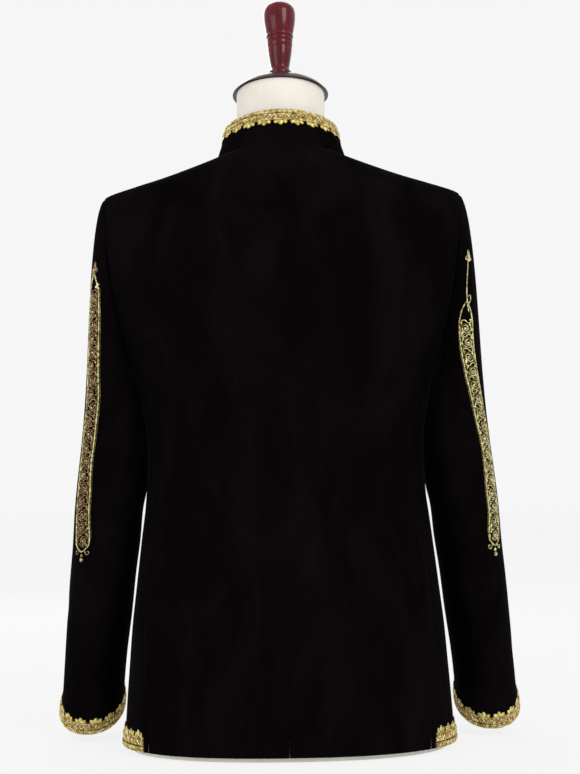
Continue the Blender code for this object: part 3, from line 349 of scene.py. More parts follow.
def smoothTable(rows, column, at):
    # one column of a table as a smooth curve over its first column
    levels = np.array([row[0] for row in rows])
    values = np.array([row[column] for row in rows])
    if levels[0] > levels[-1]:
        levels, values = levels[::-1], values[::-1]
    slopes = np.gradient(values, levels)
    at = np.clip(np.asarray(at, float), levels[0], levels[-1])
    k = np.clip(np.searchsorted(levels, at, side="right") - 1, 0, len(levels) - 2)
    step = levels[k + 1] - levels[k]
    return hermite((at - levels[k]) / step, values[k], step * slopes[k], values[k + 1], step * slopes[k + 1])


def travel(points, axis=0):
    # the way travelled along a line or a grid of points, from 0
    steps = np.linalg.norm(np.diff(points, axis=axis), axis=-1)
    return np.concatenate([np.zeros_like(np.take(steps, [0], axis)), np.cumsum(steps, axis)], axis)


def fullTurn(count):
    return np.arange(count) * 2 * math.pi / count


def bodyValue(name, z):
    return smoothTable(body["rows"], columnOf[name], z)


def unit(vectors):
    return vectors / np.maximum(np.linalg.norm(vectors, axis=-1, keepdims=True), 1e-12)


def signedPower(value, power):
    return np.sign(value) * np.abs(value) ** power


def ringWidth(across, z):
    blade = bodyValue("bladeWidth", z)
    return blade + (bodyValue("halfWidth", z) - blade) * np.abs(across) ** body["bladePower"]


def ringDepth(z, atBack):
    return np.where(atBack, bodyValue("back", z), bodyValue("front", z))


def bodyBare(angle, z):
    # the surface without folds; the angle runs from the centre back through +X
    angle, z = np.broadcast_arrays(np.asarray(angle, float), np.asarray(z, float))
    across, along = np.sin(angle), np.cos(angle)
    power = 2 / body["squareness"]
    x = ringWidth(across, z) * signedPower(across, power)
    return np.stack([x, ringDepth(z, along >= 0) * signedPower(along, power), z], axis=-1)


def bodyNormal(angle, z):
    turn, lift = 0.02, 0.0015
    roundWay = bodyBare(angle + turn, z) - bodyBare(angle - turn, z)
    upWay = bodyBare(angle, z + lift) - bodyBare(angle, z - lift)
    return unit(np.cross(upWay, roundWay))


def turnAtX(x, z):
    across = np.zeros(np.broadcast(x, z).shape)
    for _ in range(body["solveSteps"]):
        across = np.clip(np.abs(x) / ringWidth(across, z), 0, 1) ** (body["squareness"] / 2)
    return np.arcsin(across)


def angleAtX(x, z):
    turn = turnAtX(x, z)
    return math.pi - turn if x > 0 else math.pi + turn


def armholeHalf(above):
    return np.where(above, armhole["top"] - armhole["middle"], armhole["middle"] - armhole["bottom"])


def armholeLevel(turn):
    upright = np.cos(turn)
    return armhole["middle"] + armholeHalf(upright > 0) * signedPower(upright, 2 / armhole["squareness"])


def armholeAngle(z, atBack):
    z, power = np.asarray(z, float), armhole["squareness"]
    share = np.clip(np.abs(z - armhole["middle"]) / armholeHalf(z > armhole["middle"]), 0, 1)
    y = armhole["reach"] * (1 - share**power) ** (1 / power)
    turn = np.arccos(np.clip((y / ringDepth(z, atBack)) ** (body["squareness"] / 2), 0, 1))
    return np.where(atBack, turn, math.pi - turn)


armholeStep = 2 * math.pi / armhole["points"] / armhole["finer"]
joinIndex = armhole["join"] * armhole["finer"]
loopCount = armhole["points"] * armhole["finer"]
joinZ = float(armholeLevel(joinIndex * armholeStep))
seamRows = {  # the side panel's back and front seams, in degrees
    "back": ((0.006, 53.0), (0.100, 60.0), (0.200, 65.0), (0.283, 70.0), (0.360, 74.5), (0.430, 73.5)),
    "front": ((0.006, 112.0), (0.100, 111.0), (0.200, 110.0), (0.283, 108.0), (0.360, 106.5), (0.430, 107.0)),
}


def seamAngle(name, z):
    end = math.degrees(armholeAngle(joinZ, name == "back"))
    return np.radians(smoothTable(seamRows[name] + ((joinZ, end),), 1, z))


def neckReach(atBack):
    return np.where(atBack, body["neckBack"], body["neckFront"])


def levelOnOval(inside, shape):
    # bisects for the level where a test turns from true to false
    low, high = np.full(shape, body["neckLevels"][0]), np.full(shape, body["neckLevels"][1])
    for _ in range(body["solveSteps"]):
        middle = (low + high) / 2
        below = inside(middle)
        low = np.where(below, middle, low)
        high = np.where(below, high, middle)
    return (low + high) / 2


def neckSurfaceZ(x, y):
    def inside(level):
        share = np.clip(np.abs(y) / ringDepth(level, y >= 0), 0, 1) ** body["squareness"]
        across = np.sqrt(1 - share)
        return np.abs(x) < ringWidth(across, level) * across ** (2 / body["squareness"])
    return levelOnOval(inside, np.shape(x))


def necklineZ(angle):
    def outside(level):
        place = bodyBare(angle, level)
        reach = neckReach(place[..., 1] >= 0)
        return (place[..., 0] / body["neckHalf"]) ** 2 + (place[..., 1] / reach) ** 2 > 1
    return levelOnOval(outside, np.shape(angle))


shoulderEnd = float(necklineZ(np.array(math.pi / 2)))


def fineLevels():
    # rows of the panels: even steps up to the armhole, steps of its oval, then the shoulder
    marks = body["levels"] + (joinZ,)
    rows = [marks[0]]
    for low, high in zip(marks[:-1], marks[1:]):
        count = max(1, round((high - low) / body["rowStep"]))
        rows += list(low + (high - low) * np.arange(1, count + 1) / count)
    arm = [float(armholeLevel(k * armholeStep)) for k in range(joinIndex - 1, -1, -1)]
    steps = body["shoulderSteps"]
    shoulder = [armhole["top"] + (shoulderEnd - armhole["top"]) * k / steps for k in range(1, steps + 1)]
    return np.array(rows), np.array(rows + arm + shoulder)


lowerRows, allRows = fineLevels()
risen = np.clip((allRows - body["stretchFrom"]) / (shoulderEnd - body["stretchFrom"]), 0, 1)
rowRise = risen ** body["risePower"]


def columnLevels(topZ):
    return allRows + rowRise * (topZ - shoulderEnd)


def outerEdge(name, z):
    # a panel's edge: its seam, then the armhole, then the shoulder line
    upper = np.where(z < armhole["top"] - 1e-6, armholeAngle(z, name == "back"), math.pi / 2)
    return np.where(z < joinZ - 1e-6, seamAngle(name, z), upper)


def planAngle(degrees):
    # where a plan angle about the neck meets the surface
    across, along = math.sin(math.radians(degrees)), math.cos(math.radians(degrees))
    x, y = body["neckHalf"] * across, float(neckReach(along >= 0)) * along
    z = float(neckSurfaceZ(np.array(x), np.array(y)))
    turn = float(turnAtX(x, z))
    return (turn if along >= 0 else math.pi - turn), z


def edgeShares(count, first, last):
    # even shares with a few close to an edge, so that a seam's roll has columns to bend on
    close = (0.004, 0.010, 0.020)
    shares = {round(k / count, 6) for k in range(count + 1)}
    shares.update(close if first else (), (1 - c for c in close) if last else ())
    return np.array(sorted(shares))


def panelGrid(firstEdge, lastEdge, turns, shares):
    angles, levels = [], []
    for share in shares:
        degrees = float(np.interp(share * (len(turns) - 1), range(len(turns)), turns))
        topAngle, topZ = planAngle(degrees)
        z = columnLevels(topZ)
        even = firstEdge(z) * (1 - share) + lastEdge(z) * share
        angles.append(even + rowRise * (topAngle - even[-1]))
        levels.append(z)
    return np.array(angles).T, np.array(levels).T


# Folds of the body and the sleeves: side, centre degrees and level, half sizes, lean, height in metres

folds = {
    "body": (
        (1, 34, 0.315, 30, 0.016, 60, -0.0030), (-1, 40, 0.330, 26, 0.018, 75, -0.0026),
        (1, 52, 0.262, 24, 0.014, 40, -0.0022), (-1, 48, 0.280, 30, 0.013, 30, -0.0028),
        (1, 55, 0.500, 11, 0.085, 0, 0.0030), (-1, 53, 0.510, 10, 0.075, 0, 0.0034),
        (1, 27, 0.105, 9, 0.095, 0, 0.0022), (-1, 22, 0.115, 10, 0.085, 0, 0.0026),
        (1, 128, 0.315, 26, 0.017, -50, -0.0026), (-1, 132, 0.325, 30, 0.015, -60, -0.0030),
        (1, 132, 0.520, 10, 0.075, 0, 0.0026), (-1, 130, 0.500, 11, 0.070, 0, 0.0028),
    ),
    "bodyFine": (
        (1, 20, 0.345, 14, 0.007, 90, -0.0010), (-1, 30, 0.300, 18, 0.006, 80, -0.0011),
        (1, 44, 0.240, 16, 0.006, -50, -0.0009), (-1, 24, 0.352, 12, 0.006, -70, -0.0009),
        (1, 62, 0.400, 8, 0.030, 0, -0.0010), (-1, 66, 0.415, 7, 0.026, 0, -0.0012),
        (1, 40, 0.060, 4, 0.060, 0, 0.0012), (-1, 36, 0.075, 5, 0.066, 0, 0.0010),
        (1, 70, 0.570, 6, 0.035, 0, -0.0012), (-1, 69, 0.560, 6, 0.040, 0, -0.0014),
        (1, 14, 0.640, 12, 0.010, 60, -0.0008), (-1, 12, 0.625, 10, 0.009, -60, -0.0009),
        (1, 118, 0.345, 14, 0.008, 60, -0.0010), (-1, 124, 0.290, 16, 0.007, 70, -0.0011),
        (1, 148, 0.270, 12, 0.006, -60, -0.0008), (-1, 146, 0.360, 14, 0.007, 50, -0.0009),
        (1, 126, 0.080, 5, 0.060, 0, 0.0012), (-1, 130, 0.090, 5, 0.055, 0, 0.0011),
    ),
    "sleeve": (
        (1, 150, 0.345, 60, 0.012, 40, -0.0040), (-1, 140, 0.330, 55, 0.013, 30, -0.0044),
        (1, 205, 0.300, 60, 0.012, -30, -0.0042), (-1, 210, 0.290, 55, 0.011, -40, -0.0038),
        (1, 110, 0.395, 50, 0.014, 60, -0.0030), (-1, 100, 0.405, 45, 0.015, 70, -0.0032),
        (1, 60, 0.150, 45, 0.014, -30, -0.0020), (-1, 75, 0.130, 50, 0.015, 40, -0.0024),
    ),
    "sleeveFine": (
        (1, 120, 0.370, 34, 0.005, 60, -0.0012), (-1, 112, 0.350, 30, 0.006, 50, -0.0013),
        (1, 170, 0.310, 40, 0.005, 30, -0.0014), (-1, 176, 0.318, 36, 0.005, -30, -0.0012),
        (1, 96, 0.255, 26, 0.006, -40, -0.0010), (-1, 104, 0.240, 30, 0.006, 60, -0.0011),
        (1, 130, 0.180, 32, 0.006, 50, -0.0010), (-1, 84, 0.190, 26, 0.007, -50, -0.0010),
        (1, 250, 0.350, 34, 0.006, -50, -0.0012), (-1, 262, 0.330, 30, 0.006, -60, -0.0012),
        (1, 290, 0.240, 30, 0.006, 40, -0.0010), (-1, 300, 0.260, 28, 0.007, 30, -0.0009),
        (1, 300, 0.130, 30, 0.006, 30, -0.0008), (-1, 280, 0.140, 34, 0.006, -30, -0.0009),
    ),
    "calmBack": 8.0,
    "calmFront": 14.0,
    "lean": 1e-5,
}


def foldHeight(rows, side, degrees, z):
    total = np.zeros(np.broadcast(degrees, z).shape)
    for foldSide, centre, level, halfDegrees, halfZ, lean, height in rows:
        if foldSide == side:
            offDegrees = (degrees - centre) / halfDegrees
            offZ = (z - level - (degrees - centre) * lean * folds["lean"]) / halfZ
            total += height * np.exp(-(offDegrees**2) - offZ**2)
    return total


def bodyWall(side, angle, z, sink=0.0):
    angle, z = np.broadcast_arrays(np.asarray(angle, float), np.asarray(z, float))
    normal = bodyNormal(angle, z)
    degrees = np.degrees(angle)
    calm = np.clip((180.0 - degrees) / folds["calmFront"], 0, 1) * np.clip(degrees / folds["calmBack"], 0, 1)
    lift = foldHeight(folds["body"] + folds["bodyFine"], side, degrees, z) * calm - sink
    return bodyBare(angle, z) + normal * lift[..., None], normal


def edgeDistances(grid):
    # how far each point lies from the grid's first and last column and its first and last row
    across, up = travel(grid, 1), travel(grid)
    return across, across[:, -1:] - across, up, up[-1:] - up


seamRoll = {"depth": 0.0009, "width": 0.0022}


def rollSeams(outer, normal, first=True, last=True, bottom=False, top=True):
    # the cloth dips softly into each seam
    toFirst, toLast, toBottom, toTop = edgeDistances(outer)
    dip = np.zeros(outer.shape[:2])
    for wanted, distance in ((first, toFirst), (last, toLast), (bottom, toBottom), (top, toTop)):
        if wanted:
            dip = np.maximum(dip, seamRoll["depth"] * np.exp(-((distance / seamRoll["width"]) ** 2)))
    return outer - normal * dip[..., None]


def inset(grid, top=0.0, bottom=0.0, first=0.0, last=0.0):
    moved = grid.copy()
    moved[-1] += unit(grid[-2] - grid[-1]) * top
    moved[0] += unit(grid[1] - grid[0]) * bottom
    moved[:, 0] += unit(grid[:, 1] - grid[:, 0]) * np.reshape(first, (-1, 1))
    moved[:, -1] += unit(grid[:, -2] - grid[:, -1]) * np.reshape(last, (-1, 1))
    return moved


def mirrored(grid, side):
    return grid * np.array([1.0 if side > 0 else -1.0, 1.0, 1.0])


def shellPiece(name, outer, inner, material, flip=False, closed=False):
    # a thin closed wall between two grids
    rows, columns = outer.shape[:2]
    inside = rows * columns
    places = np.arange(inside).reshape(rows, columns)
    if closed:
        places = np.concatenate([places, places[:, :1]], axis=1)
    corners = [places[:-1, :-1], places[:-1, 1:], places[1:, 1:], places[1:, :-1]]
    front = np.stack(corners, -1).reshape(-1, 4)
    faces = [front, front[:, ::-1] + inside]
    edges = [(places[0], True), (places[-1], False), (places[:, 0], False), (places[:, -1], True)]
    for line, backwards in edges[:2] if closed else edges:
        p, q = (line[1:], line[:-1]) if backwards else (line[:-1], line[1:])
        faces.append(np.stack([p, q, q + inside, p + inside], 1))
    faces = np.concatenate(faces)
    if flip:
        faces = faces[:, ::-1]
    points = np.concatenate([outer.reshape(-1, 3), inner.reshape(-1, 3)])
    return addMesh(name, points, faces.tolist(), material, sharpAngle=50)


# Sleeves

sleeve = {
    "rows": (  # z, inner x, outer x, centre y, half depth, tilt in degrees
        (0.428, 0.1766, 0.2385, -0.004, 0.0740, 2.0), (0.398, 0.1712, 0.2412, -0.006, 0.0720, 5.0),
        (0.360, 0.1668, 0.2458, -0.010, 0.0690, 9.0), (0.325, 0.1672, 0.2510, -0.016, 0.0657, 12.0),
        (0.303, 0.1692, 0.2539, -0.019, 0.0640, 13.0), (0.283, 0.1740, 0.2563, -0.023, 0.0625, 14.0),
        (0.240, 0.1796, 0.2606, -0.034, 0.0600, 16.0), (0.200, 0.1862, 0.2658, -0.045, 0.0585, 18.0),
        (0.150, 0.1930, 0.2716, -0.059, 0.0565, 21.0), (0.100, 0.2008, 0.2768, -0.072, 0.0550, 25.0),
        (0.034, 0.2082, 0.2832, -0.087, 0.0540, 28.0),
    ),
    "firstRing": 0.428, "secondRing": 0.405, "lastRing": 0.034, "rings": 78, "capRings": 30,
    "squareness": 2.15, "hindarm": 4, "forearm": 14,
    "sideways": 0.12, "topSideways": 0.10, "backwards": 0.18, "down": 0.85, "topLessDown": 0.62,
    "innerCalm": 0.3, "capPower": 1.25,
}


def sleeveRing(side, turn, z):
    inner, outer, centre, depth, tilt = (smoothTable(sleeve["rows"], k, z) for k in (1, 2, 3, 4, 5))
    half, tilt = (outer - inner) / 2, np.radians(tilt)
    power = 2 / sleeve["squareness"]
    sideways, backwards = signedPower(np.cos(turn), power), signedPower(np.sin(turn), power)
    lift = foldHeight(folds["sleeve"] + folds["sleeveFine"], side, np.degrees(turn) % 360, z + 0 * turn)
    calm = np.clip(np.abs(np.cos(turn) + 1) / sleeve["innerCalm"], 0, 1)
    half, depth = half + lift * calm, depth + lift
    return np.stack([inner / 2 + outer / 2 + half * sideways, centre + depth * backwards * np.cos(tilt),
                     z - depth * backwards * np.sin(tilt)], axis=-1)


def ringNormals(grid):
    roundWay = np.roll(grid, -1, axis=1) - np.roll(grid, 1, axis=1)
    return unit(np.cross(roundWay, np.gradient(grid, axis=0))) * -1


def armholeLoop():
    turn = np.arange(loopCount) * armholeStep
    levels = armholeLevel(turn)
    angles = armholeAngle(levels, turn < math.pi)
    angles[0] = math.pi / 2
    return angles, levels


def sleeveGrid(side):
    angles, levels = armholeLoop()
    start, _ = bodyWall(side, angles, levels)
    turn = np.arange(loopCount) * armholeStep
    first, second = (sleeveRing(side, turn, sleeve[name]) for name in ("firstRing", "secondRing"))
    length = np.linalg.norm(first - start, axis=1)[:, None]
    top = (np.cos(turn)[:, None] + 1) / 2
    outwards = np.array([1.0, 0.0, 0.0]) * (sleeve["sideways"] + sleeve["topSideways"] * top)
    outwards = outwards + np.array([0.0, 1.0, 0.0]) * sleeve["backwards"] * np.sin(turn)[:, None]
    downwards = np.array([0.0, 0.0, -1.0]) * (sleeve["down"] - sleeve["topLessDown"] * top**3)
    leave, arrive = (outwards + downwards) * length, unit(second - first) * length
    shares = (np.arange(sleeve["capRings"]) / sleeve["capRings"]) ** sleeve["capPower"]
    rings = [hermite(t, start, leave, first, arrive) for t in shares]
    drop = np.linspace(sleeve["firstRing"], sleeve["lastRing"], sleeve["rings"])
    rings += [sleeveRing(side, turn, z) for z in drop]
    return np.array(rings)


def armholeRim(side, outer, normal):
    # the inner rim that body and sleeve share round the armhole
    angles, levels = armholeLoop()
    facing = bodyNormal(angles, levels)
    shared = unit(facing + normal[0])
    reach = body["wall"] / np.maximum((shared * facing).sum(1), 0.6)
    return outer[0] - shared * reach[:, None]


# Panels of the jacket. Flat sizes are the pattern's, in metres, with the cut's area in square metres.

panels = {
    "back": {"flat": (0.245, 0.715), "area": 0.144},
    "side": {"flat": (0.155, 0.490), "area": 0.049},
    "front": {"flat": (0.270, 0.700), "area": 0.155},
    "sleeveUpper": {"flat": (0.215, 0.665), "area": 0.099},
    "sleeveUnder": {"flat": (0.185, 0.600), "area": 0.078},
    "stepOut": 0.0185, "stepIn": 0.0156, "underLap": 0.0026,
    "ventTop": 0.085, "ventOpen": 0.0022,
    "backTurns": (0, 15, 30, 45, 60, 75, 90), "frontTurns": (90, 105, 120, 135, 150),
    "backColumns": 42, "frontColumns": 38, "lapSteps": 3,
    "lapPlaces": (0.0171, 0.0156, 0.010, 0.005, 0.0, -0.005, -0.010, -0.0135, -0.015),
}


def ventGap(levels):
    share = np.clip((panels["ventTop"] - levels) / panels["ventTop"], 0, 1)
    return body["seamGap"] / 2 + share * panels["ventOpen"] / 2


def withLap(angles, levels):
    # columns beyond the front's last turn, each at its own x up to the neckline
    for x in panels["lapPlaces"]:
        z = levels[:, -1].copy()
        for _ in range(panels["lapSteps"]):
            z = columnLevels(float(necklineZ(np.array(angleAtX(x, z[-1])))))
        angles = np.concatenate([angles, angleAtX(x, z)[:, None]], axis=1)
        levels = np.concatenate([levels, z[:, None]], axis=1)
    return angles, levels


def bodyPanels(side, rim):
    halfGap = body["seamGap"] / 2
    armSpan = len(lowerRows) - 1 + np.arange(joinIndex + 1)
    made = {}

    # the back, from the centre seam to the side seam and the armhole, with the vent's gap below
    angle, level = panelGrid(lambda z: 0.0 * z, lambda z: outerEdge("back", z), panels["backTurns"],
                             edgeShares(panels["backColumns"], first=True, last=True))
    bare, normal = bodyWall(side, angle, level)
    inner = bare - normal * body["wall"]
    outer = rollSeams(bare, normal)
    inner[armSpan, -1] = rim[joinIndex::-1]
    gap = np.where(level[:, -1] < joinZ, ventGap(level[:, -1]), halfGap)
    edges = {"top": halfGap, "first": halfGap, "last": gap}
    made["back"] = (inset(outer, **edges), inset(inner, **edges))

    # the front, past the centre to its edge; the right one steps in under the left
    stepTurn = math.degrees(math.pi - math.asin(panels["stepOut"] / body["neckHalf"]))
    angle, level = panelGrid(lambda z: outerEdge("front", z), lambda z: angleAtX(panels["stepOut"], z),
                             panels["frontTurns"] + (stepTurn,),
                             edgeShares(panels["frontColumns"], first=True, last=False))
    angle, level = withLap(angle, level)
    plain = bodyBare(angle, level)
    fromEdge = (plain[..., 0] - panels["stepIn"]) / (panels["stepOut"] - panels["stepIn"])
    sink = panels["underLap"] * (1 - np.clip(fromEdge, 0, 1)) if side < 0 else 0.0
    made["frontBare"], normal = bodyWall(side, angle, level, sink)
    inner = made["frontBare"] - normal * body["wall"]
    outer = rollSeams(made["frontBare"], normal, last=False)
    inner[armSpan, 0] = np.concatenate([rim[-joinIndex:], rim[:1]])
    edges = {"top": halfGap, "first": halfGap}
    made["front"] = (inset(outer, **edges), inset(inner, **edges))

    # the side panel, up to the armhole's lowest part
    loopAngle, loopZ = armholeLoop()
    rise = np.clip((lowerRows - body["stretchFrom"]) / (joinZ - body["stretchFrom"]), 0, 1)
    angles, levels = [], []
    count = loopCount - 2 * joinIndex
    for k in range(count + 1):
        topAngle, topZ = loopAngle[joinIndex + k], loopZ[joinIndex + k]
        z = np.where(rise > 0, body["stretchFrom"] + rise * (topZ - body["stretchFrom"]), lowerRows)
        even = seamAngle("back", z) * (1 - k / count) + seamAngle("front", z) * k / count
        angles.append(even + (topAngle - even[-1]) * rise**3)
        levels.append(z)
    level = np.array(levels).T
    made["sideBare"], normal = bodyWall(side, np.array(angles).T, level)
    inner = made["sideBare"] - normal * body["wall"]
    outer = rollSeams(made["sideBare"], normal)
    inner[-1] = rim[joinIndex:joinIndex + count + 1]
    edges = {"top": halfGap, "first": ventGap(level[:, 0]), "last": halfGap}
    made["side"] = (inset(outer, **edges), inset(inner, **edges))
    return made


def makeVelvetPieces(side, tag):
    outer = sleeveGrid(side)
    normal = ringNormals(outer)
    rim = armholeRim(side, outer, normal)
    shapes = bodyPanels(side, rim)
    walls = {name: shapes[name] for name in ("back", "side", "front")}
    hind, fore = sleeve["hindarm"] * armhole["finer"], sleeve["forearm"] * armhole["finer"]
    cuts = {
        "sleeveUpper": [(fore + k) % loopCount for k in range(loopCount - fore + hind + 1)],
        "sleeveUnder": list(range(hind, fore + 1)),
    }
    halfGap = body["seamGap"] / 2
    edges = {"bottom": halfGap, "first": halfGap, "last": halfGap}
    for name, columns in cuts.items():
        face = rollSeams(outer[:, columns], normal[:, columns], bottom=True, top=False)
        back = outer[:, columns] - normal[:, columns] * body["wall"]
        back[0] = rim[columns]
        walls[name] = (inset(face, **edges), inset(back, **edges))
    pieces = {}
    for name, wall in walls.items():
        face, back = (mirrored(grid, side) for grid in wall)
        pieces[name] = shellPiece(f"velvet_{name}_{tag}", face, back, velvet, side > 0)
    return pieces, shapes, outer, normal


velvetPieces, sleeveSurfaces, panelSurfaces = {}, {}, {}
nodeNames = {"back": "back", "side": "side", "front": "front",
             "sleeveUpper": "sleeve_upper", "sleeveUnder": "sleeve_under"}
for side, tag in sides:
    made, shapes, surface, normal = makeVelvetPieces(side, tag)
    for name, piece in made.items():
        finishPiece(piece, "velvet", f"{nodeNames[name]}_{tag}")
        velvetPieces[name, tag] = piece
    sleeveSurfaces[tag] = (mirrored(surface, side), mirrored(normal, side))
    panelSurfaces[tag] = shapes
print("velvet panels and sleeves made")


# Stand collar

collar = {
    "topHalf": 0.0650, "topBack": 0.0670, "topFront": 0.0600,
    "backZ": 0.7470, "sideZ": 0.7405, "frontZ": 0.7040, "frontGap": 0.0016, "bow": 0.0003,
    "flat": (0.455, 0.050), "area": 0.0185, "tuck": 0.0004, "rows": 26, "columns": 300,
    "footShares": (0, 0.015, 0.035, 0.065),
}


def collarWall(turns, shares):
    across, along = np.sin(turns), np.cos(turns)
    reach = neckReach(along >= 0)
    footZ = neckSurfaceZ(body["neckHalf"] * across, reach * along)
    topReach = np.where(along >= 0, collar["topBack"], collar["topFront"])
    rise = np.where(along >= 0, collar["backZ"] - collar["sideZ"], collar["frontZ"] - collar["sideZ"])
    foot = np.stack([body["neckHalf"] * across, reach * along, footZ], -1)
    top = np.stack([collar["topHalf"] * across, topReach * along, collar["sideZ"] + rise * along**2], -1)
    flat = unit(np.stack([across / body["neckHalf"], along / reach, 0 * across], -1))
    grid = np.array([foot * (1 - s) + top * s + flat * collar["bow"] * math.sin(math.pi * s) for s in shares])
    upWay = unit(top - foot)
    normal = unit(flat - upWay * (flat * upWay).sum(-1, keepdims=True))
    return grid, np.broadcast_to(normal, grid.shape)


def makeCollar():
    end = math.pi - collar["frontGap"] / body["neckHalf"]
    turns = np.linspace(-end, end, collar["columns"] + 1)
    shares = np.concatenate([collar["footShares"], np.linspace(0.1, 1, collar["rows"])])
    outer, normal = collarWall(turns, shares)
    face = rollSeams(outer, normal, first=False, last=False, bottom=True, top=False)
    back = outer - normal * body["wall"]
    face[0, :, 2] -= collar["tuck"]
    back[0, :, 2] -= collar["tuck"]
    piece = shellPiece("velvet_collar", face, back, velvet, True)
    return finishPiece(piece, "velvet", "collar"), outer, normal


collarPiece, collarSurface, collarNormal = makeCollar()
print("collar made")

# Cords, beads and petals, gathered into one mesh for each kind of yarn

def ringFaces(rings, sides):
    # quads between rings of points, then the pairs of neighbours round a ring
    around = [(c, (c + 1) % sides) for c in range(sides)]
    faces = [[r * sides + a, r * sides + b, (r + 1) * sides + b, (r + 1) * sides + a]
             for r in range(rings - 1) for a, b in around]
    return faces, around


def newStore():
    return {"points": [], "faces": [], "count": 0}


def addToStore(store, points, faces):
    store["points"].append(points.reshape(-1, 3))
    store["faces"].extend(faces)
    store["count"] += points.size // 3


def layCords(store, points, normals, radius, sides=6, closed=False):
    # tubes along lines of points; a batch has shape (cords, points, 3)
    points, normals = (np.asarray(a, float).reshape((-1,) + np.shape(a)[-2:]) for a in (points, normals))
    count, length = points.shape[:2]
    if closed:
        tangent = unit(np.roll(points, -1, axis=1) - np.roll(points, 1, axis=1))
    else:
        tangent = unit(np.gradient(points, axis=1))
    sideways = unit(np.cross(tangent, normals))
    upwards = np.cross(sideways, tangent)
    turn = fullTurn(sides)[:, None]
    radius = np.broadcast_to(radius, (count, length))[..., None, None]
    outwards = np.cos(turn) * sideways[:, :, None] + np.sin(turn) * upwards[:, :, None]
    rings = points[:, :, None] + radius * outwards
    base = store["count"] + (np.arange(count) * length * sides)[:, None, None]
    i, j = np.arange(length if closed else length - 1)[None, :, None], np.arange(sides)[None, None, :]
    a, b = base + i * sides + j, base + i * sides + (j + 1) % sides
    c, d = base + ((i + 1) % length) * sides + (j + 1) % sides, base + ((i + 1) % length) * sides + j
    faces = np.stack([a, d, c, b], -1).reshape(-1, 4).tolist()
    if not closed:
        for first in base.ravel():
            faces.append([int(first) + k for k in range(sides)])
            faces.append([int(first) + (length - 1) * sides + k for k in range(sides - 1, -1, -1)])
    addToStore(store, rings, faces)


def domeShape(sides, rings, point=0.0, full=False):
    # a padded dome on a round or leaf-shaped foot, or a whole bead
    turn = fullTurn(sides)
    rises = np.linspace(-1 if full else 0, 1, rings + 1)[1 if full else 0:-1] * math.pi / 2
    points = [np.stack([np.cos(turn) * math.cos(r), np.sin(turn) * math.cos(r) * (1 - point * np.cos(turn)),
                        np.full(sides, math.sin(r))], -1) for r in rises]
    points = np.concatenate(points + [np.array([[0.0, 0.0, 1.0], [0.0, 0.0, -1.0 if full else 0.0]])])
    faces, around = ringFaces(len(rises), sides)
    last = (len(rises) - 1) * sides
    for a, b in around:
        faces += [[last + a, last + b, len(points) - 2], [b, a, len(points) - 1]]
    return points, faces


beadShape = domeShape(7, 5, full=True)
petalPoint = 0.35  # how much narrower a leaf is at its tip
petalShape = domeShape(12, 3, point=petalPoint)


def laySpots(store, shape, centres, alongs, facings, sizes):
    # copies of one shape at many places, turned to lie on the cloth
    points, faces = shape
    centres, alongs, facings = (np.asarray(a, float).reshape(-1, 3) for a in (centres, alongs, facings))
    sizes = np.broadcast_to(np.asarray(sizes, float), centres.shape)
    facings = unit(facings)
    across = unit(np.cross(facings, alongs))
    alongs = np.cross(across, facings)
    placed = (centres[:, None] + alongs[:, None] * (points[None, :, :1] * sizes[:, None, :1])
              + across[:, None] * (points[None, :, 1:2] * sizes[:, None, 1:2])
              + facings[:, None] * (points[None, :, 2:] * sizes[:, None, 2:]))
    start = store["count"]
    made = [[start + k * len(points) + i for i in face] for k in range(len(centres)) for face in faces]
    addToStore(store, placed, made)


def storePiece(name, store, material, slotName, *nodes):
    piece = addMesh(name, np.concatenate(store["points"]), store["faces"], material)
    return finishPiece(piece, slotName, *nodes)


# Strips of cloth that braid and embroidery lie on

def stripAlong(grid, normals, depth, closed=False, samples=900, levels=18):
    # the grid's first row is the cloth's edge
    if closed:
        grid, normals = (np.concatenate([g, g[:, :1]], axis=1) for g in (grid, normals))
    climb, along = travel(grid), travel(grid[0])
    heights, even = np.linspace(0, depth, levels), np.linspace(0, along[-1], samples)
    sheets = []
    for source in (grid, normals):
        upright = np.array([[np.interp(heights, climb[:, c], source[:, c, k]) for k in range(3)]
                            for c in range(grid.shape[1])])
        sheets.append(np.array([[np.interp(even, along, upright[:, k, h]) for k in range(3)]
                                for h in range(levels)]).transpose(2, 0, 1))
    return {"points": sheets[0], "normals": unit(sheets[1]), "length": along[-1], "depth": depth,
            "closed": closed}


def onStrip(strip, s, h, lift):
    # points and facings at s metres along a strip, h across it and so far above it
    s, h, lift = np.broadcast_arrays(np.asarray(s, float), np.asarray(h, float), np.asarray(lift, float))
    rows, columns = strip["points"].shape[:2]
    s = np.mod(s, strip["length"]) if strip["closed"] else s
    u = np.clip(s / strip["length"] * (rows - 1), 0, rows - 1.001)
    v = h / strip["depth"] * (columns - 1)
    a, b = u.astype(int), np.clip(np.floor(v), 0, columns - 2).astype(int)
    fa, fb = (u - a)[..., None], (v - b)[..., None]

    def blend(g):
        near = g[a, b] * (1 - fa) + g[a + 1, b] * fa
        far = g[a, b + 1] * (1 - fa) + g[a + 1, b + 1] * fa
        return near * (1 - fb) + far * fb
    facing = unit(blend(strip["normals"]))
    return blend(strip["points"]) + facing * lift[..., None], facing


def cordOnStrip(store, strip, s, h, lift, radius, sides=6, closed=False):
    layCords(store, *onStrip(strip, s, h, lift), radius, sides, closed)


def spotOnStrip(store, shape, strip, s, h, lift, size, along=(1.0, 0.0)):
    # a bead or a petal that points along the strip, or another way over s and h
    s, h = np.atleast_1d(np.asarray(s, float)), np.atleast_1d(np.asarray(h, float))
    point, facing = onStrip(strip, s, h, lift)
    ahead, _ = onStrip(strip, s + 0.001 * along[0], h + 0.001 * along[1], lift)
    laySpots(store, shape, point, ahead - point, facing, size)


# Scalloped braid: a plaited row, a row of interlaced cords with beads, and three-lobed leaves

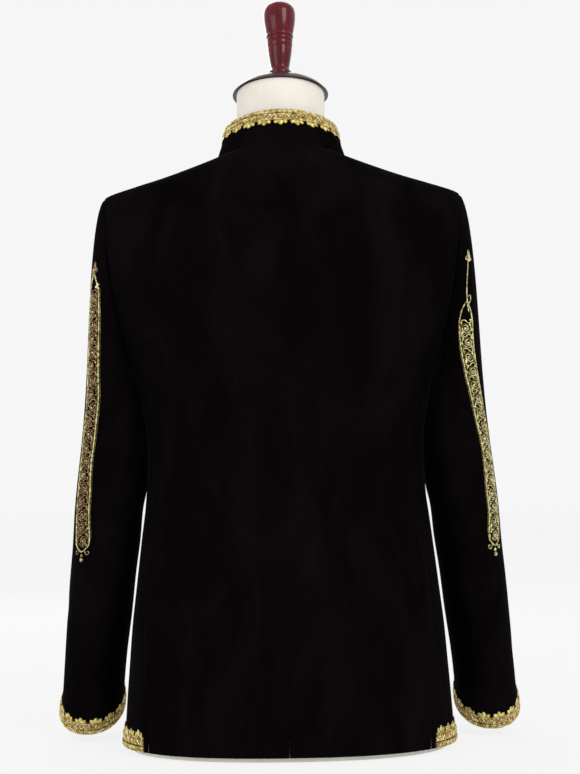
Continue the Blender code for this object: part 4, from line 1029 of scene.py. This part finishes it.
braid = {
    "pitch": 0.0180, "edge": 0.0010, "height": 0.0200, "valley": 0.0138, "samples": 22,
    "tapeLift": (0.0005, 0.0010),
    "plait": {"middle": 0.0033, "swing": 0.00165, "wave": 0.0082, "rise": 0.00045, "radius": 0.00078},
    "border": {"at": (0.0068, 0.0132), "radius": 0.00062, "ply": 0.00042, "wave": 0.0028, "up": 0.6},
    "knot": {"middle": 0.0100, "swing": 0.00230, "wave": 0.0090, "rise": 0.00045, "radius": 0.00072},
    "picot": {"each": 6, "loop": 0.0011, "tuck": 0.0002, "lift": 0.00055, "radius": 0.00055 * 0.75},
    "eye": {"each": 4, "lift": 0.0009, "radius": 0.00115},
    "leaf": {"middle": (0.0034, 0.0027, 0.0012), "side": (0.0034, 0.0023, 0.0010), "spread": 0.0042,
             "middleAt": 0.0168, "sideAt": 0.0152, "tilt": 38.0, "cord": 0.00042, "rim": 1.04},
    "leafBead": {"below": 0.0002, "lift": 0.0007, "radius": 0.00115 * 0.72},
}


def scallopReach(share):
    rise = 1 - np.abs(2 * np.mod(share, 1) - 1)
    return braid["valley"] + (braid["height"] - braid["valley"]) * rise**0.8


def layBraid(tag, strip, margin, node):
    closed, base = strip["closed"], braid["tapeLift"][1]
    length = strip["length"] - 2 * margin
    count = max(1, round(length / braid["pitch"]))
    pitch = length / count
    run = np.linspace(margin, strip["length"] - margin, count * braid["samples"] + 1)
    if closed:
        run = run[:-1]
    share = (run - margin) / pitch
    yarn, leaves, beads = newStore(), newStore(), newStore()

    reach = braid["edge"] + (scallopReach(share)[None] - braid["edge"]) * np.linspace(0, 1, 7)[:, None]
    under, over = (onStrip(strip, run[None], reach, lift)[0] for lift in braid["tapeLift"])
    tapePiece = shellPiece(f"woven_tape_{tag}", over, under, tape, closed=closed)
    faceOut(tapePiece)
    finishPiece(tapePiece, "gold_braid")

    # wave lengths that fit a whole number of times into the scallops
    plait, knot, border, leaf = braid["plait"], braid["knot"], braid["border"], braid["leaf"]
    for k in range(3):
        turn = 2 * math.pi * (share * round(2 * braid["pitch"] / plait["wave"]) / 2 + k / 3)
        lift = base + plait["radius"] + plait["rise"] * (1 + np.sin(2 * turn + 0.6))
        cordOnStrip(yarn, strip, run, plait["middle"] + plait["swing"] * np.sin(turn), lift,
                    plait["radius"], closed=closed)
    for k in range(2):
        turn = 2 * math.pi * (share * round(braid["pitch"] / knot["wave"]) + k / 2)
        lift = base + knot["radius"] + knot["rise"] * (1 + np.cos(turn))
        cordOnStrip(yarn, strip, run, knot["middle"] + knot["swing"] * np.sin(turn), lift,
                    knot["radius"], closed=closed)

    # two plies wind about each border line
    fine = np.linspace(run[0], run[-1] + (run[1] - run[0] if closed else 0), len(run) * 2 + 1)
    fine = fine[:-1] if closed else fine
    wave = pitch / round(pitch / border["wave"])
    for at in border["at"]:
        for phase in (0.0, math.pi):
            turn = 2 * math.pi * fine / wave + phase
            lift = base + border["radius"] * border["up"] + border["ply"] * (1 + np.sin(turn))
            cordOnStrip(yarn, strip, fine, at + border["ply"] * np.cos(turn), lift,
                        border["radius"], 5, closed)

    # picot loops on the braid's straight edge
    picot, eye, leafBead = braid["picot"], braid["eye"], braid["leafBead"]
    loops = np.arange(count * picot["each"]) * pitch / picot["each"] + margin + pitch / picot["each"] / 2
    arc = np.linspace(0, math.pi, 6)
    cordOnStrip(yarn, strip, loops[:, None] + picot["loop"] * np.cos(arc),
                braid["edge"] - picot["loop"] * np.sin(arc) + picot["tuck"], base + picot["lift"],
                picot["radius"], 5)

    eyes = margin + (np.arange(count * eye["each"]) + 0.5) * pitch / eye["each"]
    spotOnStrip(beads, beadShape, strip, eyes, knot["middle"], base + eye["lift"], eye["radius"])

    # three leaves to a scallop, each with a cord round it, and a bead in each fork
    middles = margin + (np.arange(count) + 0.5) * pitch
    around = fullTurn(16)
    for way in (0, 1, -1):
        offset, lean = way * leaf["spread"], math.radians(way * leaf["tilt"])
        atHeight, size = (leaf["sideAt"], leaf["side"]) if way else (leaf["middleAt"], leaf["middle"])
        s = middles + offset
        spotOnStrip(leaves, petalShape, strip, s, atHeight, base, size, (math.sin(lean), math.cos(lean)))
        x = size[0] * leaf["rim"] * np.cos(around)
        y = size[1] * leaf["rim"] * np.sin(around) * (1 - petalPoint * np.cos(around))
        ringS = s[:, None] + x * math.sin(lean) + y * math.cos(lean)
        ringH = atHeight + x * math.cos(lean) - y * math.sin(lean)
        cordOnStrip(yarn, strip, ringS, ringH, base + leaf["cord"] * 0.8, leaf["cord"], 5, True)
    for offset in (-0.5, 0.5):
        s, h = middles + offset * leaf["spread"], leaf["sideAt"] - leafBead["below"]
        spotOnStrip(beads, beadShape, strip, s, h, base + leafBead["lift"], leafBead["radius"], (1.0, 0.2))
    cords = storePiece(f"braid_cords_{tag}", yarn, braidThread, "gold_braid", node)
    padded = storePiece(f"braid_leaves_{tag}", leaves, leafThread, "gold_braid")
    glints = storePiece(f"braid_beads_{tag}", beads, bead, "gold_braid")
    return [cords, padded, glints, tapePiece]


def faceOut(piece):
    # turns a closed piece's faces outwards
    work = bmesh.new()
    work.from_mesh(piece.data)
    bmesh.ops.recalc_face_normals(work, faces=work.faces)
    work.to_mesh(piece.data)
    work.free()


trims = {}
trimDepth = 0.024  # metres of cloth that a braid's strip covers
edgeRows = 9  # rows of the cloth's grid that reach over that depth
lapColumns = 9  # columns of the lap that the right front carries under the left one
hem = {"depth": 1.1, "taller": 1.2, "margin": 0.0015}
collarStrip = stripAlong(collarSurface[::-1], collarNormal[::-1], trimDepth)
trims["collar"] = layBraid("collar", collarStrip, 0.0020, "collar_trim")
for side, tag in sides:
    surface, normal = sleeveSurfaces[tag]
    strip = stripAlong(surface[:-edgeRows:-1], normal[:-edgeRows:-1], trimDepth, closed=True)
    trims["cuff", tag] = layBraid(f"cuff_{tag}", strip, 0.0, f"cuff_trim_{tag}")
    shapes = panelSurfaces[tag]
    front = shapes["frontBare"] if side > 0 else shapes["frontBare"][:, :-lapColumns]
    joined = np.concatenate([shapes["sideBare"][:edgeRows, 1:-1], front[:edgeRows, 1:]], axis=1)
    facing = unit(np.cross(np.gradient(joined, axis=0), np.gradient(joined, axis=1)))
    strip = stripAlong(mirrored(joined, side), mirrored(facing, side), trimDepth * hem["depth"])
    strip["depth"] /= hem["taller"]  # draws the hem's braid out, a fifth taller
    trims["hem", tag] = layBraid(f"hem_{tag}", strip, hem["margin"], f"hem_trim_{tag}")
print("braid laid on collar, cuffs and hem")


# Sleeve embroidery: two rope borders, a running scroll of spirals and bars, drops at the ends

band = {
    "top": {"left": 0.546, "right": 0.503}, "bottom": 0.239, "start": 0.610, "end": 0.200,
    "middle": {  # level, then the column that the band's middle runs down
        "left": ((0.610, 2.7), (0.550, 3.0), (0.500, 3.4), (0.440, 3.4), (0.410, 3.35), (0.360, 2.85),
                 (0.300, 2.8), (0.240, 3.15), (0.190, 3.2)),
        "right": ((0.610, 2.9), (0.575, 3.1), (0.540, 3.9), (0.503, 4.6), (0.466, 4.65), (0.433, 4.1),
                  (0.402, 3.4), (0.360, 2.65), (0.310, 2.5), (0.270, 2.6), (0.238, 2.85), (0.190, 2.9)),
    },
    "narrowed": {  # level, then the band's share of its full width
        "left": ((0.610, 0.65), (0.500, 0.76), (0.440, 0.92), (0.400, 1.0), (0.190, 1.0)),
        "right": ((0.610, 0.50), (0.550, 0.52), (0.515, 0.68), (0.480, 0.70), (0.440, 0.80), (0.380, 0.95),
                  (0.330, 1.0), (0.190, 1.0)),
    },
    "half": {"left": 0.0126, "right": 0.0112}, "reach": 0.020, "stem": 0.062,
    "rope": {"radius": 0.00062, "ply": 0.00042, "wave": 0.0038, "inset": 0.0010},
    "repeat": 0.0165, "firstSpiral": 0.012, "endClear": 0.004, "drawnIn": 0.985,
    "cord": 0.00064, "barCord": 0.00068, "filler": 0.00030, "lift": 0.0010,
    "spiral": {"out": 0.0060, "in": 0.0012, "turns": 1.6, "start": -0.35 * math.pi, "tighten": 0.85,
               "long": 1.02, "wide": 1.12, "off": 0.0012, "vary": 0.05, "echo": 0.0020},
    "flower": {"radius": 0.0038, "petals": 6, "step": 1.3, "off": 0.001},
    "ripple": {"in": 0.0033, "swing": 0.0010, "wave": 0.0052},
    "fringe": {"out": 0.0016, "swing": 0.0006, "wave": 0.0032},
    "seed": {"apart": 0.0062, "in": 0.0050},
    # half sizes of the spots: along, across and up
    "knob": (0.0017, 0.0017, 0.0016), "petal": (0.0026, 0.0012, 0.0012),
    "flowerSpot": (0.0008, 0.0008, 0.0010),
    "seedSpot": (0.0008, 0.0008, 0.0009), "loopSpot": (0.0013, 0.0013, 0.0014),
    "endSpot": (0.0019, 0.0019, 0.0021), "spiralSpot": 0.0016, "peakSpot": 0.0022,
    # lines of metres down from the band's end and shares of its half width
    "foot": ((0.009, 0.0), (0.0055, 0.50), (0.0005, 0.90), (-0.008, 1.0)),
    "peak": ((0.008, 0.93), (-0.003, 0.55), (-0.011, 0.0)),
    # lines of shares of a repeat and of the half width; the leaves have a slant too
    "bar": ((-0.60, -0.70), (-0.46, -0.74), (-0.40, -0.25), (-0.58, 0.22), (-0.52, 0.72), (-0.38, 0.76)),
    "leaves": ((0.30, 0.66, 0.9), (-0.24, -0.62, -0.8), (0.05, -0.80, 0.3)),
    # lines of metres down and across
    "stemLine": ((0.012, -0.004), (0.002, -0.0015), (-0.012, 0.001)),
    "hook": ((0.004, -0.001), (-0.004, -0.006), (-0.009, -0.0045), (-0.007, -0.001)),
    "curl": ((0.0065, 0.0045), (0.0105, 0.0064), (0.0124, 0.0090), (0.0102, 0.0112), (0.0078, 0.0100),
             (0.0086, 0.0082)),
    # the loops' place, half length, half width and lean
    "loops": ((-0.0050, 0.0, 0.0046, 0.0024, 0.0), (0.0, 0.0044, 0.0040, 0.0022, 0.9),
              (0.0, -0.0044, 0.0040, 0.0022, -0.9)),
}


def bandStrip(tag):
    # a strip of the sleeve's surface down its outer back side, s from the top and u across
    surface, normal = sleeveSurfaces[tag]
    columns = np.arange(-armhole["finer"] * 2, armhole["finer"] * 8)
    levels = np.linspace(band["start"], band["end"], 300)
    sheets = [np.stack([np.stack([np.interp(-levels, -surface[:, c, 2], g[:, c, k]) for k in range(3)], -1)
                        for c in columns], axis=1) for g in (surface, normal)]
    across = np.linspace(-band["reach"], band["reach"], 25)
    rows, facings = [], []
    for level, points, normals in zip(levels, *sheets):
        middle = smoothTable(band["middle"][tag], 1, level) * armhole["finer"]
        run = travel(points)
        run -= np.interp(middle, columns, run)
        reach = across * smoothTable(band["narrowed"][tag], 1, level)
        rows.append([np.interp(reach, run, points[:, k]) for k in range(3)])
        facings.append([np.interp(reach, run, normals[:, k]) for k in range(3)])
    rows, facings = (np.array(a).transpose(0, 2, 1) for a in (rows, facings))
    travelled = travel(rows[:, len(across) // 2])
    even = np.linspace(0, travelled[-1], 700)
    points, normals = (np.array([[np.interp(even, travelled, g[:, c, k]) for k in range(3)]
                                 for c in range(len(across))]).transpose(2, 0, 1) for g in (rows, facings))
    strip = {"points": points, "normals": unit(normals), "length": travelled[-1], "depth": 2 * band["reach"],
             "closed": False}

    def placeOf(z):
        return float(np.interp(-z, -levels, travelled))
    return strip, placeOf


def smoothLine(points, count):
    # a smooth line through a few given points
    points = np.asarray(points, float)
    at = travel(points)
    rows = [(a, *p) for a, p in zip(at, points)]
    return np.stack([smoothTable(rows, k, np.linspace(0, at[-1], count)) for k in (1, 2)], -1)


def layBand(tag):
    strip, placeOf = bandStrip(tag)
    top, bottom = placeOf(band["top"][tag]), placeOf(band["bottom"])
    reach, half, lift = band["reach"], band["half"][tag], band["lift"]
    ropes, scrolls, fillers, beads = newStore(), newStore(), newStore(), newStore()

    def cord(store, line, radius, sides=5, closed=False):
        line = np.asarray(line, float)
        s, u = line[..., 0], line[..., 1] + reach
        cordOnStrip(store, strip, s, u, lift + radius * 0.9, radius, sides, closed)

    def spot(store, shape, s, u, size, along=(1.0, 0.0)):
        spotOnStrip(store, shape, strip, s, np.asarray(u, float) + reach, lift, size, along)

    # the border runs up one side, over the pointed top and down the other side to the V
    rope = band["rope"]
    edge = half - rope["inset"]
    outline = [(bottom + s, edge * u) for s, u in band["foot"]]
    outline += [(s, edge) for s in np.arange(bottom - 0.020, top + 0.022, -0.012)]
    outline += [(top + s, edge * u) for s, u in band["peak"]]
    outline += [(s, -u) for s, u in reversed(outline[:-1])][:-1]
    outline = smoothLine(outline + [outline[0]], 1100)[:-1]
    travelled = travel(outline)
    wave = travelled[-1] / round(travelled[-1] / rope["wave"])
    turnWay = unit(np.roll(outline, -1, axis=0) - np.roll(outline, 1, axis=0))
    sideways = np.stack([-turnWay[:, 1], turnWay[:, 0]], -1)
    for phase in (0.0, math.pi):
        turn = 2 * math.pi * travelled / wave + phase
        wound = outline + sideways * (rope["ply"] * np.cos(turn))[:, None]
        cordOnStrip(ropes, strip, wound[:, 0], wound[:, 1] + reach,
                    lift + rope["radius"] + rope["ply"] * np.sin(turn), rope["radius"], 6, True)

    # spirals and slanting bars, turn about
    count = int((bottom - top) / band["repeat"])
    gap = (bottom - top - band["endClear"]) / count
    spiral, flower = band["spiral"], band["flower"]
    turn = np.linspace(0, 2 * math.pi * spiral["turns"], 46)
    tightened = (turn / turn[-1]) ** spiral["tighten"]
    petals = turn[:flower["petals"]] * flower["step"]
    for k in range(count):
        centre = top + band["firstSpiral"] + (k + 0.5) * gap * band["drawnIn"]
        hand = 1 if k % 2 == 0 else -1
        size = 1 + spiral["vary"] * math.sin(k * 2.3)
        radius = spiral["out"] * size + (spiral["in"] - spiral["out"]) * tightened
        s = centre + radius * np.cos(turn + spiral["start"]) * spiral["long"]
        u = hand * (radius * np.sin(turn + spiral["start"]) * spiral["wide"] + spiral["off"])
        cord(scrolls, np.stack([s, u], -1), band["cord"])
        echo = 1 + spiral["echo"] / np.maximum(radius, 0.003)
        echoed = np.stack([centre + (s - centre) * echo, u * echo], -1)
        cord(fillers, echoed[:31], band["filler"] * 1.3, 4)
        spot(beads, beadShape, centre, hand * spiral["off"], band["spiralSpot"])
        bar = smoothLine([(centre + gap * s, hand * edge * u) for s, u in band["bar"]], 40)
        cord(scrolls, bar, band["barCord"])
        spot(scrolls, beadShape, bar[[0, -1], 0], bar[[0, -1], 1], band["knob"])
        for s, u, slant in band["leaves"]:
            spot(scrolls, petalShape, centre + gap * s, hand * edge * u, band["petal"], (1.0, hand * slant))
        spot(fillers, beadShape, centre + flower["radius"] * np.cos(petals),
             hand * (flower["radius"] * np.sin(petals) + flower["off"]), band["flowerSpot"])

    # fine couched cords along both borders, and seed beads between them and the scroll
    ripple, fringe = band["ripple"], band["fringe"]
    line = np.linspace(top + 0.010, bottom - 0.008, 430)
    seeds = np.arange(top + 0.016, bottom - 0.012, band["seed"]["apart"])
    for way in (1, -1):
        wavy = edge - ripple["in"] + ripple["swing"] * np.sin(2 * math.pi * line / ripple["wave"] + way)
        cord(fillers, np.stack([line, way * wavy], -1), band["filler"], 4)
        looped = edge + fringe["out"] + fringe["swing"] * np.abs(np.sin(math.pi * line / fringe["wave"]))
        cord(fillers, np.stack([line, way * looped], -1), band["filler"] * 0.8, 4)
        spot(beads, beadShape, seeds, way * (edge - band["seed"]["in"]) + 0 * seeds, band["seedSpot"])

    # the stem and looped ornament over the top
    tall, crown = band["stem"], top - 0.011
    peak = crown - 0.004
    if tag == "right":
        peak = crown - (tall - 0.006)
        stem = [(crown + s, u) for s, u in band["stemLine"]] + [(crown - tall + 0.010, 0.003)]
        cord(scrolls, smoothLine(stem, 40), band["cord"])
        cord(scrolls, smoothLine([(crown + s, u) for s, u in band["hook"]], 24), band["cord"] * 0.85)
    ring = fullTurn(24)
    for offS, offU, long, wide, lean in band["loops"]:
        x, y = long * np.cos(ring), wide * np.sin(ring)
        loop = np.stack([peak + offS + x * math.cos(lean) - y * math.sin(lean),
                         offU + x * math.sin(lean) + y * math.cos(lean)], -1)
        cord(scrolls, loop, band["cord"] * 0.8, 6, True)
        spot(beads, beadShape, peak + offS, offU, band["loopSpot"])
    spot(beads, beadShape, peak + 0.003, 0.0, band["peakSpot"])
    if tag == "left":
        spot(beads, beadShape, top + np.array([0.004, 0.009, 0.007]), edge * np.array([0.86, 0.98, 0.70]),
             band["endSpot"])

    # drops and curls under the V
    for s, radius in ((bottom + 0.0135, 0.0018), (bottom + 0.0190, 0.0024)):
        spot(scrolls, beadShape, s, 0.0, (radius * 1.25, radius, radius))
    for way in (1, -1):
        cord(scrolls, smoothLine([(bottom + s, way * u) for s, u in band["curl"]], 30), band["cord"] * 0.9)
    # the left band's scroll is drawn darker and browner than the right band's
    inside = {"left": dullSleeveThread, "right": sleeveThread}[tag]
    return [storePiece(f"sleeve_ropes_{tag}", ropes, sleeveThread, "gold_braid", f"sleeve_band_{tag}"),
            storePiece(f"sleeve_scrolls_{tag}", scrolls, inside, "gold_braid", f"sleeve_scroll_{tag}"),
            storePiece(f"sleeve_fillers_{tag}", fillers, fillerThread, "gold_braid"),
            storePiece(f"sleeve_beads_{tag}", beads, bead, "gold_braid")]


for side, tag in sides:
    trims["band", tag] = layBand(tag)
print("sleeve bands embroidered")


# Dress form: covered torso and neck, neck plate, turned finial

form = {
    "fit": ((0.000, 0.0085, 0.190), (0.100, 0.0085, 0.181), (0.200, 0.0085, 0.170), (0.320, 0.0080, 0.156),
            (0.450, 0.0085, 0.175), (0.560, 0.0085, 0.194), (0.620, 0.0070, 0.194), (0.645, 0.0045, 0.188),
            (0.660, 0.0022, 0.178), (0.672, 0.0011, 0.172), (0.700, 0.0010, 0.172)),
    "sides": 96, "top": 0.6925, "lid": 0.80, "frontClear": 0.0030, "frontReach": 30.0, "levelBelow": 0.6,
    "lastRing": 0.687, "neckTop": 0.7825, "slope": math.radians(7.0),
    "neckRadius": 0.0540, "neckFoot": 0.0560, "neckDeep": 1.02, "seam": 0.0005, "seamWidth": 0.002,
    "plate": ((0.0, 0.0226), (0.0120, 0.0222), (0.0260, 0.0194), (0.0400, 0.0142), (0.0505, 0.0082),
              (0.0552, 0.0040), (0.0566, 0.0022), (0.0560, 0.0006), (0.0545, 0.0003), (0.0, 0.0003)),
    "finial": ((0.0, 0.0999), (0.0046, 0.0995), (0.0086, 0.0986), (0.0125, 0.0972), (0.0152, 0.0953),
               (0.0174, 0.0931), (0.0186, 0.0908), (0.0194, 0.0876), (0.0197, 0.0834), (0.0193, 0.0754),
               (0.0181, 0.0676), (0.0169, 0.0610), (0.0161, 0.0589), (0.0159, 0.0575), (0.0165, 0.0566),
               (0.0167, 0.0553), (0.0164, 0.0540), (0.0154, 0.0529), (0.0152, 0.0519), (0.0158, 0.0509),
               (0.0155, 0.0486), (0.0148, 0.0480), (0.0148, 0.0472), (0.0156, 0.0464), (0.0155, 0.0433),
               (0.0149, 0.0406), (0.0146, 0.0396), (0.0150, 0.0385), (0.0144, 0.0340), (0.0136, 0.0285),
               (0.0124, 0.0211), (0.0114, 0.0155), (0.0112, 0.0132), (0.0117, 0.0111), (0.0123, 0.0095),
               (0.0139, 0.0080), (0.0145, 0.0066), (0.0145, 0.0043), (0.0137, 0.0021), (0.0129, 0.0003),
               (0.0, 0.0003)),
    "screwAt": {"up": 0.0216, "x": -0.0108, "y": 0.0128},
    "screw": ((0, 0.0012), (0.0012, 0.0011), (0.0020, 0.0007), (0.0022, 0.0), (0, -0.0002)),
}


def spunPiece(name, profile, sides, material, finer=4):
    # a turned piece: the profile runs from the top of its axis to the foot, in metres
    profile = np.array(profile)
    steps = []
    for k, (a, b) in enumerate(zip(profile[:-1], profile[1:])):
        before, after = profile[max(k - 1, 0)], profile[min(k + 2, len(profile) - 1)]
        steps += [hermite(t, a, (b - before) / 2, b, (after - a) / 2) for t in np.arange(finer) / finer]
    line = np.array(steps + [profile[-1]])
    line[:, 0] = np.maximum(line[:, 0], 0)
    inside, turn = line[1:-1], fullTurn(sides)
    points = np.stack([inside[:, :1] * np.sin(turn), inside[:, :1] * np.cos(turn),
                       np.repeat(inside[:, 1:], sides, axis=1)], -1).reshape(-1, 3)
    points = np.concatenate([points, [[0, 0, line[0, 1]], [0, 0, line[-1, 1]]]])
    faces, around = ringFaces(len(inside), sides)
    last = (len(inside) - 1) * sides
    for a, b in around:
        faces += [[b, a, len(points) - 2], [last + a, last + b, len(points) - 1]]
    piece = addMesh(name, points, faces, material)
    faceOut(piece)
    return piece


def leanOnNeck(piece, up=0.0, x=0.0, y=0.0):
    lean = Matrix.Translation((0, 0, form["neckTop"])) @ Matrix.Rotation(form["slope"], 4, "X")
    piece.data.transform(lean @ Matrix.Translation((x, y, up)))


def stackedRings(name, rings, material):
    count, sides = len(rings), len(rings[0])
    faces = [[b, a, d, c] for a, b, c, d in ringFaces(count, sides)[0]]
    faces += [list(range(sides)), list(range(count * sides - 1, (count - 1) * sides - 1, -1))]
    piece = addMesh(name, np.array(rings).reshape(-1, 3), faces, material, sharpAngle=50)
    faceOut(piece)
    return piece


def makeTorso(angles):
    rings = []
    for z in list(np.linspace(0, 0.60, 61)) + list(np.linspace(0.606, form["lastRing"], 24)):
        levels = np.full(len(angles), max(z, body["rows"][0][0]))
        nearFront = np.exp(-(((np.degrees(angles) - 180) / form["frontReach"]) ** 2))
        drawnIn = body["wall"] + smoothTable(form["fit"], 1, z) + form["frontClear"] * nearFront
        point = bodyBare(angles, levels) - bodyNormal(angles, levels) * np.reshape(drawnIn, (-1, 1))
        point[:, 0] *= min(1.0, float(smoothTable(form["fit"], 2, z) / np.abs(point[:, 0]).max()))
        if z < form["levelBelow"]:
            point[:, 2] = z
        rings.append(point)
    lid = rings[-1].copy()
    lid[:, :2] *= form["lid"]
    lid[:, 2] = form["top"]
    finishPiece(stackedRings("covered_torso", rings + [lid], jersey), "form_cover", "form_body")


def makeNeck(angles):
    across, along = np.sin(angles), np.cos(angles)
    seam = form["seam"] * np.exp(-((np.abs(across) - 1) / form["seamWidth"]) ** 2)
    foot = form["top"] + body["seamGap"]
    rings = []
    for share in np.linspace(0, 1, 40):
        radius = form["neckRadius"] + (form["neckFoot"] - form["neckRadius"]) * (1 - share) ** 4 - seam
        x, y = radius * across, radius * form["neckDeep"] * along
        top = form["neckTop"] + y * math.tan(form["slope"])
        rings.append(np.stack([x, y, foot + (top - foot) * share], -1))
    finishPiece(stackedRings("covered_neck", rings, jersey), "form_cover", "form_neck")


def makeForm():
    angles = fullTurn(form["sides"])
    makeTorso(angles)
    makeNeck(angles)
    plate = spunPiece("neck_plate", form["plate"], 96, acetate)
    leanOnNeck(plate)
    finishPiece(plate, "form_cap", "form_cap")
    finial = spunPiece("turned_finial", form["finial"], 72, lacquer)
    leanOnNeck(finial, up=form["plate"][0][1])
    finishPiece(finial, "lacquered_wood", "form_finial")
    head = spunPiece("plate_screw", form["screw"], 24, screwSteel, 3)
    leanOnNeck(head, **form["screwAt"])
    finishPiece(head, "lacquered_wood")


makeForm()
print("dress form made")


# Buttons and worked buttonholes down the lap

buttons = {"count": 6, "top": 0.628, "bottom": 0.170, "radius": 0.0095, "height": 0.0052, "lift": 0.0004,
           "hole": 0.0210, "start": -0.004, "stitch": 0.0007, "every": 0.0009, "slit": 0.0011,
           "ripple": 0.0002, "sunk": 0.0006, "bend": 0.52, "measured": 0.008}
buttonProfile = (  # shares of the radius and of the height
    (0, 1), (0.30, 0.97), (0.55, 0.88), (0.74, 0.70), (0.80, 0.60), (0.84, 0.62), (0.92, 0.60), (0.99, 0.44),
    (1, 0.30), (0.95, 0.12), (0.80, 0.0), (0, 0.0))


def makeButtons():
    face = panelSurfaces["left"]["frontBare"]
    line = face[:, int(np.argmin(np.abs(face[0, :, 0])))]
    profile = [(buttons["radius"] * r, buttons["height"] * h) for r, h in buttonProfile]
    threads = newStore()
    for k in range(buttons["count"]):
        z = buttons["top"] + (buttons["bottom"] - buttons["top"]) * k / (buttons["count"] - 1)
        low, high = (np.array([0.0, np.interp(v, line[:, 2], line[:, 1]), v])
                     for v in (z - buttons["measured"], z + buttons["measured"]))
        facing = unit(np.cross(high - low, np.array([-1.0, 0.0, 0.0])))
        seat = (low + high) / 2 + facing * buttons["lift"]
        made = spunPiece(f"domed_button_{k + 1}", profile, 40, brass, 3)
        tilt = Matrix.Rotation(math.atan2(-float(facing[1]), float(facing[2])), 4, "X")
        made.data.transform(Matrix.Translation([float(c) for c in seat]) @ tilt)
        finishPiece(made, "gold_button", f"button_{k + 1}")
        span = np.linspace(buttons["start"], buttons["start"] + buttons["hole"], 60)
        for way in (1, -1):
            stitches = np.sin(span * 2 * math.pi / buttons["every"])
            level = z + way * (buttons["slit"] + buttons["ripple"] * stitches)
            depth = np.interp(level, line[:, 2], line[:, 1])
            row = np.stack([span, depth - buttons["sunk"] + buttons["bend"] * span**2, level], -1)
            layCords(threads, row, np.tile([0.0, -1.0, 0.0], (len(row), 1)), buttons["stitch"], 5)
    return storePiece("buttonhole_stitches", threads, holeThread, "velvet")


holes = makeButtons()
print("buttons made")


# The braid and stitches that each velvet piece carries, gathered into lists

heldBy = {"back": "stretched", "side": "stretched", "front": "stretched",
          "sleeveUpper": "hung", "sleeveUnder": "hung"}
for side, tag in sides:
    carriedBy = {
        "front": trims["hem", tag] + ([holes] if side > 0 else []),
        "sleeveUpper": trims["band", tag] + trims["cuff", tag],
    }
    for name in heldBy:
        piece, carried = velvetPieces[name, tag], carriedBy.get(name, [])
        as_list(carried)
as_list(trims["collar"])


# Floor, light and camera

studio = {
    "grey": "#f6f6f6", "floorShade": "#4f4f4f", "floorGlow": 0.835, "floorRadius": 30.0,
    "floorLevel": -0.0002,
    "lights": (  # name, place, aim, size, power in watts
        ("softKey", (-1.5, 2.0, 2.1), (0.0, 0.0, 0.45), 1.3, 34.0),
        ("softFill", (1.9, 1.7, 1.1), (0.0, 0.0, 0.45), 1.5, 16.0),
        ("frontSoft", (0.7, -2.3, 1.8), (0.0, 0.0, 0.45), 1.6, 26.0),
    ),
}
view = {"distance": 1.6955, "orbit": 0.0, "height": 0.2861, "tilt": 4.645, "roll": -0.867, "lens": 65.51,
        "sideways": -0.0063}


def makeStudio():
    floorMaterial = bpy.data.materials.new("paintedFloor")  # matt white studio floor, rolled paint
    floorMaterial.use_nodes = True
    tree = floorMaterial.node_tree
    shader = tree.nodes["Principled BSDF"]
    shader.inputs["Roughness"].default_value = 0.95
    shader.inputs["Specular IOR Level"].default_value = 0.0
    shader.inputs["Base Color"].default_value = hexToLinear(studio["floorShade"])
    shader.inputs["Emission Color"].default_value = (1, 1, 1, 1)
    shader.inputs["Emission Strength"].default_value = studio["floorGlow"]
    turn = fullTurn(96)
    points = np.stack([np.cos(turn), np.sin(turn), 0 * turn], -1) * studio["floorRadius"]
    floor = addMesh("studioFloor", points, [list(range(96))], floorMaterial, smooth=False)
    floor.location.z = studio["floorLevel"]
    floor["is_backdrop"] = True
    world = bpy.data.worlds.new("paleRoom")
    world.use_nodes = True
    world.node_tree.nodes["Background"].inputs["Color"].default_value = hexToLinear(studio["grey"])
    bpy.context.scene.world = world
    for name, place, aim, size, power in studio["lights"]:
        lamp = bpy.data.lights.new(name, "AREA")
        lamp.size, lamp.energy = size, power
        made = bpy.data.objects.new(name, lamp)
        made.location = place
        made.rotation_euler = (Vector(aim) - Vector(place)).to_track_quat("-Z", "Y").to_euler()
        bpy.context.scene.collection.objects.link(made)
    bpy.context.scene.view_settings.view_transform = "Standard"


def makeCamera():
    # behind the form, low, looking a little up, as the photo was taken
    orbit = math.radians(view["orbit"])
    data = bpy.data.cameras.new("photoCamera")
    data.sensor_fit = "VERTICAL"
    data.sensor_height, data.lens = 36.0, view["lens"]
    made = bpy.data.objects.new("photoCamera", data)
    outwards = Vector((math.sin(orbit), math.cos(orbit), 0.0))
    right = Vector((-math.cos(orbit), math.sin(orbit), 0.0))
    made.location = outwards * view["distance"] - right * view["sideways"] + Vector((0, 0, view["height"]))
    tilt = math.radians(view["tilt"])
    forward = -outwards * math.cos(tilt) + Vector((0, 0, math.sin(tilt)))
    aimed = forward.to_track_quat("-Z", "Y")
    made.rotation_euler = (aimed.to_matrix() @ Matrix.Rotation(math.radians(view["roll"]), 3, "Z")).to_euler()
    bpy.context.scene.collection.objects.link(made)
    bpy.context.scene.camera = made


makeStudio()
makeCamera()

[[[float(c) for c in corner] for corner in box] for box in (cadBox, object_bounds())]
print("scene ready")
